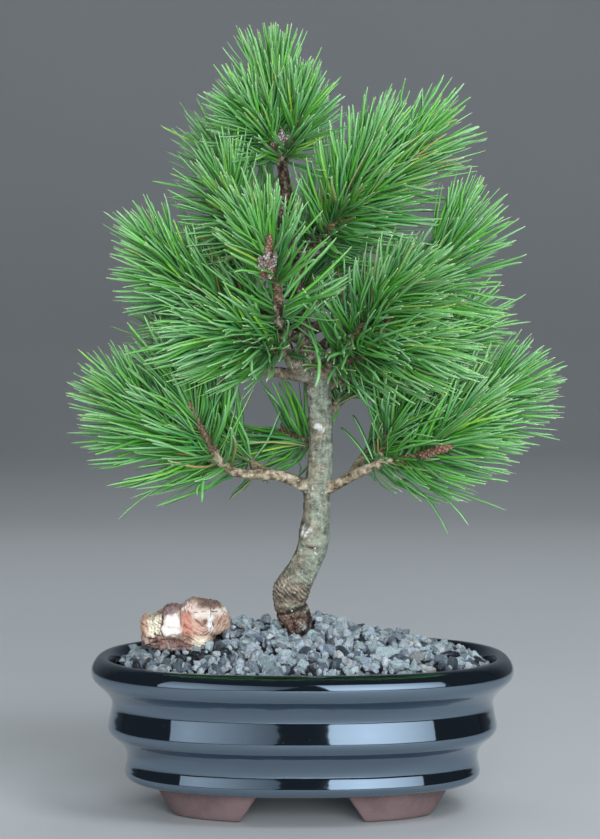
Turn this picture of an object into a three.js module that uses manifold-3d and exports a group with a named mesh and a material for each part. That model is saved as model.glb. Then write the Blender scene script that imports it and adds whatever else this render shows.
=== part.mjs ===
// A mugo pine bonsai in an oval, black glazed pot with four feet.
// Millimetres, +Z up, and the front of the tree looks along -Y. The pot stands on z = 0.
// Every place below is measured from the middle of the pot, on the surface it stands on.

import * as THREE from 'three';
import { mergeVertices } from 'three/addons/utils/BufferGeometryUtils.js';
import Module from 'manifold-3d';

const wasm = await Module();
wasm.setup();

// Driving dimensions

// The pot's middle, seen from the middle of the whole tree's outline.
const POT_PLACE = new THREE.Vector3(-6.7, -2.9, 0);
// Clearance between two pieces that lie against each other.
const FIT_GAP = 0.35;
// A surface may move by this much where it is made of fewer faces.
const SHAPE_TOLERANCE = 0.05;

// The pot is an oval: a superellipse whose half depth is this much less than its half length.
const PLAN_INSET = 25;
const PLAN_POWER = 2.4;
// Inside this half length the oval shrinks evenly to the middle.
const PLAN_CORE = 60;
const POT_SIDES = 32;
const SOIL_SIDES = 16;

// The pot's underside stands this high over the surface below, on its feet.
const POT_BASE_HEIGHT = 14.5;
// Half length and height of the pot's outer wall, from the base up to the rim.
const POT_OUTSIDE = [
  [76, POT_BASE_HEIGHT], [83, 15.1], [87.2, 17], [88.5, 19.4], [87.4, 25.4], [87.6, 29],
  [90.8, 34.4], [95.6, 38.4], [96.8, 41.8], [95.4, 49.5], [94.8, 54], [98.2, 60.4],
  [104.3, 66.2], [105, 69.4], [103, 74.3], [99.8, 76.4],
];
// The floor inside dips a little from its edge to its middle.
const FLOOR_MIDDLE = 19.5;
const FLOOR_EDGE = 20.5;
// Half length and height of the inner wall, from the rim down to the floor.
const POT_INSIDE = [
  [96.6, 75.9], [94.6, 72], [93.2, 66], [91, 52], [84, 32], [76, FLOOR_EDGE], [0, FLOOR_MIDDLE],
];

// The ring that the feet are cut from: its height, which reaches into the pot's base, and its
// half lengths on the outside and the inside, at the surface below and at the top.
const FOOT_HEIGHT = 17;
const FOOT_OUTSIDE = [70, 76];
const FOOT_INSIDE = [57, 61];
// Width of the openings between the feet, at the surface below and at the pot's base.
const FRONT_OPENING = [61.5, 43.5];
const END_OPENING = [50, 30];
// They're cut through the whole ring of feet by blocks longer than the pot.
const OPENING_LENGTH = 240;

const DRAIN_HOLE_RADIUS = 6;
const DRAIN_HOLE_X = 36;
const SCREEN_WIDTH = 20;
const SCREEN_THICK = 1.2;
const SCREEN_MESH = 5.4;
const SCREEN_MESH_HOLE = 3.4;
// The screens lie just clear of the floor's highest part.
const SCREEN_SEAT = FLOOR_EDGE + FIT_GAP;

// The gravel mound: its height at the pot's wall, its rise to the middle, and two heaps on it,
// each with x, y, spread and height.
const MOUND_EDGE = 72.5;
const MOUND_RISE = 16.5;
const MOUND_LENGTH = 93;
const MOUND_DEPTH = 68;
const MOUND_HEAPS = [[9, 9, 13, 6], [-30, 14, 13, 5]];
const GRAVEL_THICK = 9;
// The soil's top: half lengths of its rings, from the wall to the middle.
const SOIL_RINGS = [91.9, 80, 60, 34, 0];
const STONE_RINGS = 8;
const STONE_JITTER = 0.42;
const STONE_RELIEF = 1.7;
// Half length of the gravel at the pot's wall, how much less it is at the wall's foot, and the
// height of that wall, most of which lies beside the soil.
const GRAVEL_HALF = 93.4;
const GRAVEL_WALL_LEAN = 3;
const GRAVEL_WALL_HEIGHT = 15;
// Holes for the trunk and the accent stone are wider than those pieces by these gaps.
const TRUNK_GAP = 0.46;
const ACCENT_GAP = 0.49;

// The accent stone: its middle and its half sizes.
const ACCENT_PLACE = new THREE.Vector3(-58, -6, 91.5);
const ACCENT_HALF = new THREE.Vector3(23.5, 16, 14.5);
const ACCENT_BLOCKINESS = 0.72;
const ACCENT_ROUGHNESS = 0.16;
// Its underside is flat, at this share of the half height below its middle.
const ACCENT_FLAT = 0.86;

// Trunk and leader: x, y, z and radius of each station, from the stump in the soil to the top.
const TRUNK = [
  [-3, 0, 45.5, 5.6], [-2.9, 0, 65.5, 6.4], [-2.6, 0, 83.5, 6.6], [-2.3, 0, 89, 7],
  [-3, 0, 93.5, 7.9], [-4.8, 0, 98, 8.1], [-6.8, 0, 102.2, 7.5], [-5.7, 0, 108, 9.3],
  [-2.2, 0, 114.5, 8], [2.2, 0, 123, 7.3], [5.5, 0, 131.9, 7.4], [5.9, 0, 137.5, 7.7],
  [6.9, 0, 145.5, 6.7], [7.1, 0, 158.5, 6.6], [8.5, 0, 169.5, 6.1], [9.2, 0, 185.5, 5.8],
  [8.7, 0, 201.5, 6.2], [6.9, 0, 214.5, 6.5], [3.9, 2, 223.5, 5.4], [1.2, 4, 233.2, 4.6],
  [-2.2, 7, 253, 4.2], [-5.2, 8, 275.3, 3.6], [-7.2, 6, 300, 3.1], [-9.7, 4, 317.3, 2.7],
  [-12.1, 2, 332.2, 2.3],
];
// Stations of the stump, as far up as the soil and the gravel lie round it.
const STUMP_STATIONS = 7;
const TRUNK_SIDES = 7;
const LIMB_SIDES = 5;
const TWIG_SIDES = 4;

// Each shoot: the limb that leads to it, as stations of x, y, z and radius, from inside the wood
// that it grows on, then the place of the shoot's tip, its needles' length and how far they droop.
const SHOOTS = {
  apex: { limb: [], tip: [-14, 0, 356.5], needle: 35.5, droop: 0.02 },
  apex_left: {
    limb: [[-10.6, 4, 323.5, 2], [-16, 0, 330, 1.8]],
    tip: [-23, -6, 340.5], needle: 31, droop: 0.04,
  },
  apex_right: {
    limb: [[-10, 4, 319.5, 2], [-6, 0, 328, 1.8]],
    tip: [-3, -6, 343], needle: 31, droop: 0.04,
  },
  upper_left: {
    limb: [[-5.2, 8, 273.5, 2.8], [-19, -2, 283.2, 2.3], [-29, -6, 289.5, 2]],
    tip: [-35, -11, 304], needle: 34, droop: 0.06,
  },
  upper_middle: {
    limb: [[6, 3, 277.5, 2.4], [13, -4, 287.5, 2]],
    tip: [30, -14, 319], needle: 40, droop: 0.05,
  },
  upper_right: {
    limb: [[-4, 8, 265.5, 3.2], [8.7, 2, 280.2, 3], [20, -1, 290.5, 2.5], [28, -3, 298.5, 2.1]],
    tip: [50.7, -10, 323.5], needle: 42, droop: 0.08,
  },
  left_mid: {
    limb: [[1, 4, 232.5, 3.2], [-16, 0, 240.5, 2.9], [-32, -4, 246.5, 2.6], [-45, -8, 252.5, 2.1]],
    tip: [-63, -14, 269], needle: 40, droop: 0.08,
  },
  front_centre: {
    limb: [[6, 0, 213.5, 4.4], [-1.2, -9, 218.3, 4.1], [-6.7, -17, 227.2, 3.4],
      [-10.6, -24, 238.1, 3], [-11.6, -32, 253, 2.4]],
    tip: [-16.6, -50, 278.5], needle: 43, droop: 0.1,
  },
  right_centre: {
    limb: [[6.7, 0, 212.5, 3.8], [12, -5, 218.5, 3.4], [18.6, -12, 225.8, 3], [26, -20, 236.5, 2.4]],
    tip: [43, -38, 255.5], needle: 44, droop: 0.1,
  },
  right_far: {
    limb: [[1, 5, 236.5, 3.2], [20, 6, 244.5, 3], [40, 5, 251.5, 2.6], [56, 2, 258.5, 2.1]],
    tip: [70, -4, 276], needle: 44, droop: 0.08,
  },
  front_low_left: {
    limb: [[-6, -16, 226, 2.4], [-14, -23, 228.5, 2]],
    tip: [-34, -38, 235.5], needle: 44, droop: 0.2,
  },
  front_low_right: {
    limb: [[15, -8, 221.5, 2.4], [23, -15, 223.5, 2]],
    tip: [44, -31, 229.5], needle: 44, droop: 0.2,
  },
  low_left_tip: {
    limb: [[5.5, 0, 158, 3.6], [-5.2, -5, 164, 3], [-16, -9, 166.9, 2.7],
      [-26, -12, 167.3, 2.6], [-35, -14, 169.3, 2.5], [-40.3, -16, 173.5, 2.3],
      [-43.5, -17, 179, 2.1]],
    tip: [-57, -23, 204.5], needle: 42, droop: 0.06,
  },
  low_left_side: {
    limb: [[-37, -14.5, 170.5, 2.3], [-46, -11, 175.5, 2.1], [-54, -9, 179, 1.9]],
    tip: [-78, -13, 197], needle: 43, droop: 0.07,
  },
  low_left_back: {
    limb: [[-15, -8.5, 166.5, 2.3], [-23, 1, 170.5, 2.1], [-31, 12, 176.5, 1.9]],
    tip: [-50, 26, 196], needle: 40, droop: 0.1,
  },
  low_right_front: {
    limb: [[8, 0, 157, 3.4], [17.6, -4, 161.9, 2.8], [24.5, -7, 165.9, 2.6],
      [31.4, -9, 169.3, 2.5], [38.4, -11, 172.5, 2.4], [48, -14, 174, 2]],
    tip: [72, -25, 189.5], needle: 41, droop: 0.06,
  },
  low_right_inner: {
    limb: [[37, -10.6, 172, 2.2], [39, -12, 178.5, 1.9]],
    tip: [48, -17, 200], needle: 38, droop: 0.08,
  },
  low_right_main: {
    limb: [[40, -11, 173, 2.3], [52, -7, 178.5, 2.1], [63, -5, 184.5, 1.9]],
    tip: [91, -10, 204], needle: 43, droop: 0.1,
  },
  low_right_back: {
    limb: [[24, -6.5, 165.5, 2.3], [28, 4, 171.5, 2.1], [35, 15, 178.5, 1.9]],
    tip: [62, 32, 194], needle: 38, droop: 0.2,
  },
  behind_trunk: {
    limb: [[9, 1, 177.5, 2.4], [4.5, 9, 180, 2.2], [0, 16, 182, 2]],
    tip: [-11, 34, 186], needle: 40, droop: 0.12,
  },
  behind_right: {
    limb: [[9, 1, 193.5, 2.5], [16, 9, 199.5, 2.3], [23, 16, 205.5, 2]],
    tip: [44, 33, 221], needle: 42, droop: 0.16,
  },
  back_mid_left: {
    limb: [[1, 5, 234.5, 3], [-10, 15, 241.5, 2.6], [-24, 28, 247.5, 2.1]],
    tip: [-44, 45, 263.5], needle: 43, droop: 0.12,
  },
  back_mid: {
    limb: [[-1, 7, 246.5, 3], [-1, 20, 253.5, 2.6], [1, 35, 260.5, 2.1]],
    tip: [5, 55, 279.5], needle: 43, droop: 0.1,
  },
  back_mid_right: {
    limb: [[3, 3, 224.5, 3], [16, 16, 233.5, 2.6], [32, 30, 241.5, 2.1]],
    tip: [53, 46, 255.5], needle: 43, droop: 0.14,
  },
  back_upper_left: {
    limb: [[-5.5, 7.5, 282.5, 2.6], [-14, 16, 290.5, 2.3], [-21, 22, 297.5, 2]],
    tip: [-35, 34, 318.5], needle: 41, droop: 0.08,
  },
  back_upper_right: {
    limb: [[-5, 8, 271.5, 2.8], [6, 16, 283.5, 2.4], [15, 22, 292.5, 2]],
    tip: [30, 36, 312.5], needle: 41, droop: 0.08,
  },
  back_left_low: {
    limb: [[6, 1, 213.5, 3.2], [-12, 12, 216.5, 2.7], [-34, 22, 218.5, 2.3], [-51, 28, 222.5, 2]],
    tip: [-60, 36, 239], needle: 38, droop: 0.12,
  },
  back_right_low: {
    limb: [[8, 1, 209.5, 3.2], [26, 13, 213.5, 2.7], [47, 23, 217.5, 2.2]],
    tip: [72, 35, 231.5], needle: 44, droop: 0.16,
  },
};

// A shoot's slim core, and the needles that grow on it.
const SHOOT_RADIUS = 2.1;
const SHOOT_TIP_RADIUS = 1.7;
const SHOOT_SIDES = 4;
const SHOOT_STEPS = 2;
const NEEDLES_PER_SHOOT = 29;
const NEEDLE_RADIUS = 0.95;
const NEEDLE_SIDES = 3;
// Where on the shoot the lowest and the last needle stand, and how far they lean out from it.
const FIRST_NEEDLE = 0.14;
const LAST_NEEDLE = 0.87;
const LOW_LEAN = THREE.MathUtils.degToRad(72);
const TOP_LEAN = THREE.MathUtils.degToRad(24);
const NEEDLE_TURN = THREE.MathUtils.degToRad(137.5);
const NEEDLE_CLEARANCE = 0.4;
// Share of a needle, at its root, that may touch other needles of its own spray.
const ROOT_SHARE = 0.14;
const NEEDLE_TRIES = 40;

// A needle's middle line curls towards the shoot's heading by this share of its length.
const NEEDLE_CURL = 0.16;
// Under shoots that lie low, needles turn up to the light: a needle sinks freely by the first share
// of its length, and from there on by the second share of what it would.
const FREE_DROP = 0.22;
const HELD_DROP = 0.45;
// The shoot's bend from the limb's heading to its own starts at this share of its length.
const SHOOT_BEND = 0.4;

const UP = new THREE.Vector3(0, 0, 1);
// A direction that no rod runs along, from which the first ring of a rod takes its turn.
const ASKEW = new THREE.Vector3(0.31, 0.87, 0.38);

// Finishes

function finish(color, roughness) {
  return new THREE.MeshStandardMaterial({ color, roughness, metalness: 0 });
}

const BLACK_GLAZE = finish(0x0b0c10, 0.08);
const DARK_SOIL = finish(0x3a2c22, 0.95);
const GREY_GRAVEL = finish(0x75828a, 0.85);
const BANDED_STONE = finish(0xb98a76, 0.7);
const SCREEN_PLASTIC = finish(0x1c1d1e, 0.6);
const PINE_BARK = finish(0x6f6a58, 0.9);
const PINE_NEEDLE = finish(0x4f8a35, 0.5);

// Solids

// Random numbers from 0 to 1 that come out the same in every build.
function seededRandom(seed) {
  let state = seed;
  return () => {
    state = (state * 1664525 + 1013904223) % 4294967296;
    return state / 4294967296;
  };
}

// A closed geometry as a solid: its doubled points are merged, faces that have shrunk to a line
// are dropped, and the faces are turned outwards.
function solidFrom(geometry) {
  const bare = geometry.clone();
  bare.deleteAttribute('normal');
  bare.deleteAttribute('uv');
  const merged = mergeVertices(bare, 1e-4);
  const points = merged.getAttribute('position').array;
  const corner = (index) => new THREE.Vector3().fromArray(points, index * 3);
  const faces = [];
  let volume = 0;
  for (let i = 0; i < merged.index.count; i += 3) {
    const [a, b, c] = [0, 1, 2].map((k) => merged.index.getX(i + k));
    if (a === b || b === c || c === a) continue;
    faces.push([a, b, c]);
    volume += corner(a).dot(corner(b).cross(corner(c)));
  }
  const outward = volume > 0 ? faces : faces.map(([a, b, c]) => [a, c, b]);
  const mesh = new wasm.Mesh({
    numProp: 3,
    vertProperties: new Float32Array(points),
    triVerts: new Uint32Array(outward.flat()),
  });
  return new wasm.Manifold(mesh);
}

// The largest body of a solid as a geometry, without the points that its shape doesn't need.
function geometryFrom(solid) {
  const bodies = solid.simplify(SHAPE_TOLERANCE).decompose();
  const largest = bodies.reduce((a, b) => (b.volume() > a.volume() ? b : a));
  const mesh = largest.getMesh();
  const geometry = new THREE.BufferGeometry();
  geometry.setAttribute('position', new THREE.BufferAttribute(mesh.vertProperties, 3));
  geometry.setIndex(new THREE.BufferAttribute(mesh.triVerts, 1));
  geometry.computeVertexNormals();
  return geometry;
}

// Moves every point of a geometry to the place that a function gives for it.
function reshape(geometry, place) {
  const position = geometry.getAttribute('position');
  const point = new THREE.Vector3();
  for (let i = 0; i < position.count; i += 1) {
    point.fromBufferAttribute(position, i);
    position.setXYZ(i, ...place(point).toArray());
  }
  return geometry;
}

function signedPower(value, power) {
  return Math.sign(value) * Math.abs(value) ** power;
}

// A point of the pot's oval plan: the half length of its ring, and the angle round it.
function ovalPoint(halfLength, angle, height) {
  const inset = PLAN_INSET * Math.min(1, halfLength / PLAN_CORE);
  const x = halfLength * signedPower(Math.cos(angle), 2 / PLAN_POWER);
  const y = (halfLength - inset) * signedPower(Math.sin(angle), 2 / PLAN_POWER);
  return new THREE.Vector3(x, y, height);
}

// A profile of half lengths and heights turned round the pot's oval plan.
function ovalSolid(profile, sides) {
  const points = profile.map(([halfLength, height]) => new THREE.Vector2(halfLength, height));
  const geometry = new THREE.LatheGeometry(points, sides);
  reshape(geometry, (p) => ovalPoint(Math.hypot(p.x, p.z), Math.atan2(p.z, p.x), p.y));
  return solidFrom(geometry);
}

// A round rod carried along a path: at each share of its length it takes that place and radius.
// Its rings turn with the path, or all lie square to one heading, which keeps its sides flat.
// A pointed rod ends in a tip instead of a flat face.
function rodGeometry(path, radius, sides, steps, { pointed = false, heading = null } = {}) {
  const rings = [];
  let side = ASKEW;
  for (let i = 0; i <= steps; i += 1) {
    const share = i / steps;
    const [before, after] = [Math.max(0, share - 0.02), Math.min(1, share + 0.02)];
    const ahead = heading ?? path(after).sub(path(before)).normalize();
    side = side.clone().addScaledVector(ahead, -side.dot(ahead)).normalize();
    const across = ahead.clone().cross(side);
    rings.push({ middle: path(share), side, across, radius: radius(share) });
  }
  const geometry = pointed
    ? new THREE.ConeGeometry(1, 1, sides, steps)
    : new THREE.CylinderGeometry(1, 1, 1, sides, steps);
  return reshape(geometry, (p) => {
    const share = p.y + 0.5;
    const ring = rings[Math.round(share * steps)];
    const reach = pointed ? Math.min(1, Math.hypot(p.x, p.z) / Math.max(1 - share, 1e-6))
      : Math.hypot(p.x, p.z);
    const angle = Math.atan2(p.z, p.x);
    return ring.middle.clone()
      .addScaledVector(ring.side, Math.cos(angle) * reach * ring.radius)
      .addScaledVector(ring.across, Math.sin(angle) * reach * ring.radius);
  });
}

// The path and radius of wood through its stations.
function throughStations(stations) {
  const curve = new THREE.CatmullRomCurve3(stations.map(([x, y, z]) => new THREE.Vector3(x, y, z)));
  const last = stations.length - 1;
  const radius = (share) => {
    const low = Math.min(Math.floor(share * last), last - 1);
    return THREE.MathUtils.lerp(stations[low][3], stations[low + 1][3], share * last - low);
  };
  return { path: (share) => curve.getPoint(share), radius };
}

// Clearance between rods. Each entry is a straight stretch with its radius and its node's name.

const placedRods = [];

function stretchesOf(path, radius, steps, owner, from = 0, to = 1) {
  const stretches = [];
  for (let i = 0; i < steps; i += 1) {
    const start = THREE.MathUtils.lerp(from, to, i / steps);
    const end = THREE.MathUtils.lerp(from, to, (i + 1) / steps);
    stretches.push({
      line: new THREE.Line3(path(start), path(end)),
      radius: Math.max(radius(start), radius(end)),
      owner,
    });
  }
  return stretches;
}

function isClear(stretch, other, gap) {
  const room = stretch.radius + other.radius + gap;
  return stretch.line.distanceSqToLine3(other.line) > room * room;
}

// Pot

function openingBetweenFeet([lowWidth, highWidth]) {
  const shape = new THREE.Shape();
  const slope = (lowWidth - highWidth) / 2 / POT_BASE_HEIGHT;
  const below = 2;
  const above = FOOT_HEIGHT + 4;
  shape.moveTo(-lowWidth / 2 - slope * below, -below);
  shape.lineTo(lowWidth / 2 + slope * below, -below);
  shape.lineTo(highWidth / 2, POT_BASE_HEIGHT);
  shape.lineTo(highWidth / 2, above);
  shape.lineTo(-highWidth / 2, above);
  shape.lineTo(-highWidth / 2, POT_BASE_HEIGHT);
  const geometry = new THREE.ExtrudeGeometry(shape, { depth: OPENING_LENGTH, bevelEnabled: false });
  geometry.translate(0, 0, -OPENING_LENGTH / 2);
  geometry.rotateX(Math.PI / 2);
  return geometry;
}

function makePot() {
  const base = [[0, POT_BASE_HEIGHT]];
  const body = ovalSolid([...base, ...POT_OUTSIDE, ...POT_INSIDE], POT_SIDES);
  const footRing = ovalSolid([
    [FOOT_OUTSIDE[0], 0], [FOOT_OUTSIDE[1], FOOT_HEIGHT], [FOOT_INSIDE[1], FOOT_HEIGHT],
    [FOOT_INSIDE[0], 0], [FOOT_OUTSIDE[0], 0],
  ], POT_SIDES);
  const frontOpening = openingBetweenFeet(FRONT_OPENING);
  const endOpening = openingBetweenFeet(END_OPENING).rotateZ(Math.PI / 2);
  const feet = footRing.subtract(solidFrom(frontOpening)).subtract(solidFrom(endOpening));
  let pot = body.add(feet);
  for (const side of [-1, 1]) {
    const hole = new THREE.CylinderGeometry(DRAIN_HOLE_RADIUS, DRAIN_HOLE_RADIUS, 30, 12);
    hole.rotateX(Math.PI / 2);
    hole.translate(side * DRAIN_HOLE_X, 0, POT_BASE_HEIGHT);
    pot = pot.subtract(solidFrom(hole));
  }
  return geometryFrom(pot);
}

// A square of plastic mesh that lies on the pot's floor over a drain hole.
function makeDrainScreen(side) {
  const middle = side * DRAIN_HOLE_X;
  const height = SCREEN_SEAT + SCREEN_THICK / 2;
  const plate = new THREE.BoxGeometry(SCREEN_WIDTH, SCREEN_WIDTH, SCREEN_THICK);
  let screen = solidFrom(plate.translate(middle, 0, height));
  for (const column of [-1, 0, 1]) {
    for (const row of [-1, 0, 1]) {
      const hole = new THREE.BoxGeometry(SCREEN_MESH_HOLE, SCREEN_MESH_HOLE, 3 * SCREEN_THICK);
      hole.translate(middle + column * SCREEN_MESH, row * SCREEN_MESH, height);
      screen = screen.subtract(solidFrom(hole));
    }
  }
  return geometryFrom(screen);
}

// Soil and gravel

// Height of the soil's top, at a half length of the oval plan.
function soilTop(halfLength) {
  const share = halfLength / MOUND_LENGTH;
  return MOUND_EDGE - GRAVEL_THICK + MOUND_RISE * (1 - share * share);
}

// The pot's inside, less the gap, filled up to the profile that closes it.
function potFilling(top, sides) {
  const wall = POT_INSIDE.slice(0, -1).reverse().map(([x, z]) => [x - FIT_GAP, z + FIT_GAP]);
  const floor = [0, FLOOR_EDGE + FIT_GAP];
  return ovalSolid([floor, ...wall.filter(([, z]) => z < top[0][1]), ...top], sides);
}

function trunkHole(stations) {
  const wider = stations.map(([x, y, z, radius]) => [x, y, z, radius + TRUNK_GAP]);
  const { path, radius } = throughStations(wider);
  return solidFrom(rodGeometry(path, radius, TRUNK_SIDES, stations.length - 1));
}

function makeSoil() {
  const top = SOIL_RINGS.map((ring) => [ring, soilTop(ring) - FIT_GAP]);
  let soil = potFilling(top, SOIL_SIDES);
  for (const side of [-1, 1]) {
    const width = SCREEN_WIDTH + 2 * FIT_GAP;
    const seat = new THREE.BoxGeometry(width, width, 2 * (SCREEN_THICK + FIT_GAP));
    seat.translate(side * DRAIN_HOLE_X, 0, SCREEN_SEAT);
    soil = soil.subtract(solidFrom(seat));
  }
  const stump = TRUNK.slice(0, STUMP_STATIONS);
  const bottom = [stump[0][0], stump[0][1], stump[0][2] - FIT_GAP, stump[0][3]];
  return geometryFrom(soil.subtract(trunkHole([bottom, ...stump])));
}

// Height of the gravel mound, without its stones.
function moundHeight(x, y) {
  const share = (x / MOUND_LENGTH) ** 2 + (y / MOUND_DEPTH) ** 2;
  let height = MOUND_EDGE + MOUND_RISE * (1 - share);
  for (const [heapX, heapY, spread, rise] of MOUND_HEAPS) {
    const away = ((x - heapX) ** 2 + (y - heapY) ** 2) / (spread * spread);
    height += rise * Math.exp(-away);
  }
  return height;
}

// The stones as relief: peaks on rings of the pot's oval, six more on each ring outwards, with a
// hollow between each three. The last ring is level and drops straight down as the gravel's wall.
function stoneReliefGeometry() {
  const random = seededRandom(11);
  const points = [];
  const faces = [];
  const addPoint = (point) => points.push(point) - 1;
  const rings = [];
  for (let ring = 0; ring <= STONE_RINGS; ring += 1) {
    const count = Math.max(1, 6 * ring);
    const outermost = ring === STONE_RINGS;
    const loose = outermost ? 0 : STONE_JITTER;
    rings.push(Array.from({ length: count }, (_, index) => {
      const halfLength = (ring + (random() - 0.5) * loose) * GRAVEL_HALF / STONE_RINGS;
      const angle = (index + (random() - 0.5) * loose) * 2 * Math.PI / count;
      const { x, y } = ovalPoint(halfLength, angle, 0);
      const rise = outermost ? 0 : STONE_RELIEF * (0.4 + 1.1 * random());
      return addPoint(new THREE.Vector3(x, y, moundHeight(x, y) + rise));
    }));
  }
  const addCell = (a, b, c) => {
    const middle = points[a].clone().add(points[b]).add(points[c]).divideScalar(3);
    middle.z = moundHeight(middle.x, middle.y) - STONE_RELIEF;
    const hollow = addPoint(middle);
    faces.push([a, b, hollow], [b, c, hollow], [c, a, hollow]);
  };
  for (let ring = 1; ring <= STONE_RINGS; ring += 1) {
    const [inner, outer] = [rings[ring - 1], rings[ring]];
    for (let sector = 0; sector < 6; sector += 1) {
      for (let step = 0; step < ring; step += 1) {
        const near = inner[(sector * (ring - 1) + step) % inner.length];
        const next = inner[(sector * (ring - 1) + step + 1) % inner.length];
        const left = outer[sector * ring + step];
        const right = outer[(sector * ring + step + 1) % outer.length];
        addCell(near, left, right);
        if (step + 1 < ring) addCell(near, right, next);
      }
    }
  }
  const edge = rings[STONE_RINGS];
  const drop = MOUND_EDGE - GRAVEL_WALL_HEIGHT;
  const foot = edge.map((_, index) => {
    const angle = index * 2 * Math.PI / edge.length;
    return addPoint(ovalPoint(GRAVEL_HALF - GRAVEL_WALL_LEAN, angle, drop));
  });
  const centre = addPoint(new THREE.Vector3(0, 0, drop));
  edge.forEach((top, index) => {
    const next = (index + 1) % edge.length;
    faces.push([top, foot[index], edge[next]], [edge[next], foot[index], foot[next]]);
    faces.push([foot[next], foot[index], centre]);
  });
  const geometry = new THREE.BufferGeometry().setFromPoints(points);
  return geometry.setIndex(faces.flat());
}

function makeGravel() {
  const past = 8;
  const bed = SOIL_RINGS.map((ring) => [ring ? ring + past : 0, soilTop(ring)]);
  const belowBed = ovalSolid([[0, 0], [bed[0][0], 0], ...bed], SOIL_SIDES);
  const gravel = solidFrom(stoneReliefGeometry())
    .subtract(belowBed)
    .subtract(trunkHole(TRUNK.slice(0, STUMP_STATIONS)))
    .subtract(solidFrom(accentStoneGeometry(ACCENT_GAP)));
  return geometryFrom(gravel);
}

// Accent stone: a ball of facets drawn out to a block, roughened, with a flat underside.
function accentStoneGeometry(grow) {
  const geometry = new THREE.IcosahedronGeometry(1, 1);
  return reshape(geometry, (p) => {
    const bulge = Math.sin(p.x * 5.1 + p.z * 3.3) + Math.sin(p.y * 4.7 - p.x * 2.9 + p.z * 6.1);
    const size = 1 + ACCENT_ROUGHNESS * bulge / 2;
    const half = ACCENT_HALF;
    const shaped = new THREE.Vector3(
      signedPower(p.x, ACCENT_BLOCKINESS) * (half.x * size + grow),
      signedPower(p.y, ACCENT_BLOCKINESS) * (half.y * size + grow),
      signedPower(p.z, ACCENT_BLOCKINESS) * (half.z * size + grow),
    );
    shaped.z = Math.max(shaped.z, -half.z * ACCENT_FLAT - grow);
    return shaped.add(ACCENT_PLACE);
  });
}

// Wood

function makeWood() {
  const parts = [];
  const addLimb = (stations, sides) => {
    const { path, radius } = throughStations(stations);
    const steps = stations.length - 1;
    parts.push(solidFrom(rodGeometry(path, radius, sides, steps)));
    const length = path(steps ? (steps - 1) / steps : 0).distanceTo(path(1));
    const end = 1 - Math.min(0.9, radius(1) / length) / steps;
    placedRods.push(...stretchesOf(path, radius, steps * 2, 'wood', 0, end));
  };
  addLimb(TRUNK, TRUNK_SIDES);
  for (const { limb } of Object.values(SHOOTS)) {
    if (limb.length) addLimb(limb, limb.length > 4 ? LIMB_SIDES : TWIG_SIDES);
  }
  return geometryFrom(wasm.Manifold.union(parts));
}

// Sprays

// The shoot's core leaves its limb's end face square on, and bends to the shoot's tip.
function shootCore(name) {
  const shoot = SHOOTS[name];
  const { path } = throughStations(shoot.limb.length ? shoot.limb : TRUNK);
  const heading = path(1).sub(path(0.98)).normalize();
  const start = path(1).addScaledVector(heading, FIT_GAP);
  const tip = new THREE.Vector3(...shoot.tip);
  const bend = start.clone().addScaledVector(heading, start.distanceTo(tip) * SHOOT_BEND);
  const curve = new THREE.QuadraticBezierCurve3(start, bend, tip);
  return {
    path: (share) => curve.getPoint(share),
    radius: (share) => THREE.MathUtils.lerp(SHOOT_RADIUS, SHOOT_TIP_RADIUS, share),
  };
}

// One needle: it starts inside the core at a share of the shoot's length, leans out from the
// shoot, and droops with the square of the way along it.
function needlePath(core, share, lean, turn, length, droop) {
  const root = core.path(share);
  const ahead = core.path(Math.min(1, share + 0.03)).sub(core.path(share - 0.03)).normalize();
  const side = new THREE.Vector3().crossVectors(ahead, UP).normalize();
  const over = new THREE.Vector3().crossVectors(side, ahead);
  const outward = side.multiplyScalar(Math.cos(turn)).addScaledVector(over, Math.sin(turn));
  const heading = ahead.clone().multiplyScalar(Math.cos(lean))
    .addScaledVector(outward, Math.sin(lean));
  return (along) => {
    const away = heading.clone().multiplyScalar(length * along)
      .addScaledVector(ahead, length * NEEDLE_CURL * Math.sin(lean) * along * along)
      .addScaledVector(UP, -length * droop * along * along);
    const sunk = -away.z - length * FREE_DROP;
    if (sunk > 0) away.z += sunk * (1 - HELD_DROP);
    return away.add(root);
  };
}

const needleRadius = (along) => NEEDLE_RADIUS * (1 - along);

// The first try whose needle clears every other piece, and its own spray's needles too if it can.
function placeNeedle(name, core, index, random) {
  const { needle, droop } = SHOOTS[name];
  const rank = index / (NEEDLES_PER_SHOOT - 1);
  const share = THREE.MathUtils.lerp(FIRST_NEEDLE, LAST_NEEDLE, rank);
  let spare = null;
  for (let attempt = 0; attempt < NEEDLE_TRIES; attempt += 1) {
    const loose = 0.12 + 0.5 * attempt / NEEDLE_TRIES;
    const lean = THREE.MathUtils.lerp(LOW_LEAN, TOP_LEAN, rank) + (random() - 0.5) * loose;
    const turn = index * NEEDLE_TURN + (random() - 0.5) * 2 * loose;
    const length = needle * (0.9 + 0.2 * random());
    const sag = droop * (0.6 + 0.8 * random());
    const path = needlePath(core, share, lean, turn, length, sag);
    const stretches = stretchesOf(path, needleRadius, 1, name);
    const others = placedRods.filter((rod) => rod.owner !== name);
    if (!stretches.every((stretch) => others.every((rod) => isClear(stretch, rod, NEEDLE_CLEARANCE)))) {
      continue;
    }
    const outer = stretchesOf(path, needleRadius, 1, name, ROOT_SHARE, 1);
    const own = placedRods.filter((rod) => rod.owner === name && rod.outer);
    if (outer.every((stretch) => own.every((rod) => isClear(stretch, rod, 0)))) {
      return { path, stretches, outer };
    }
    spare = spare ?? { path, stretches, outer };
  }
  return spare;
}

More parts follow.
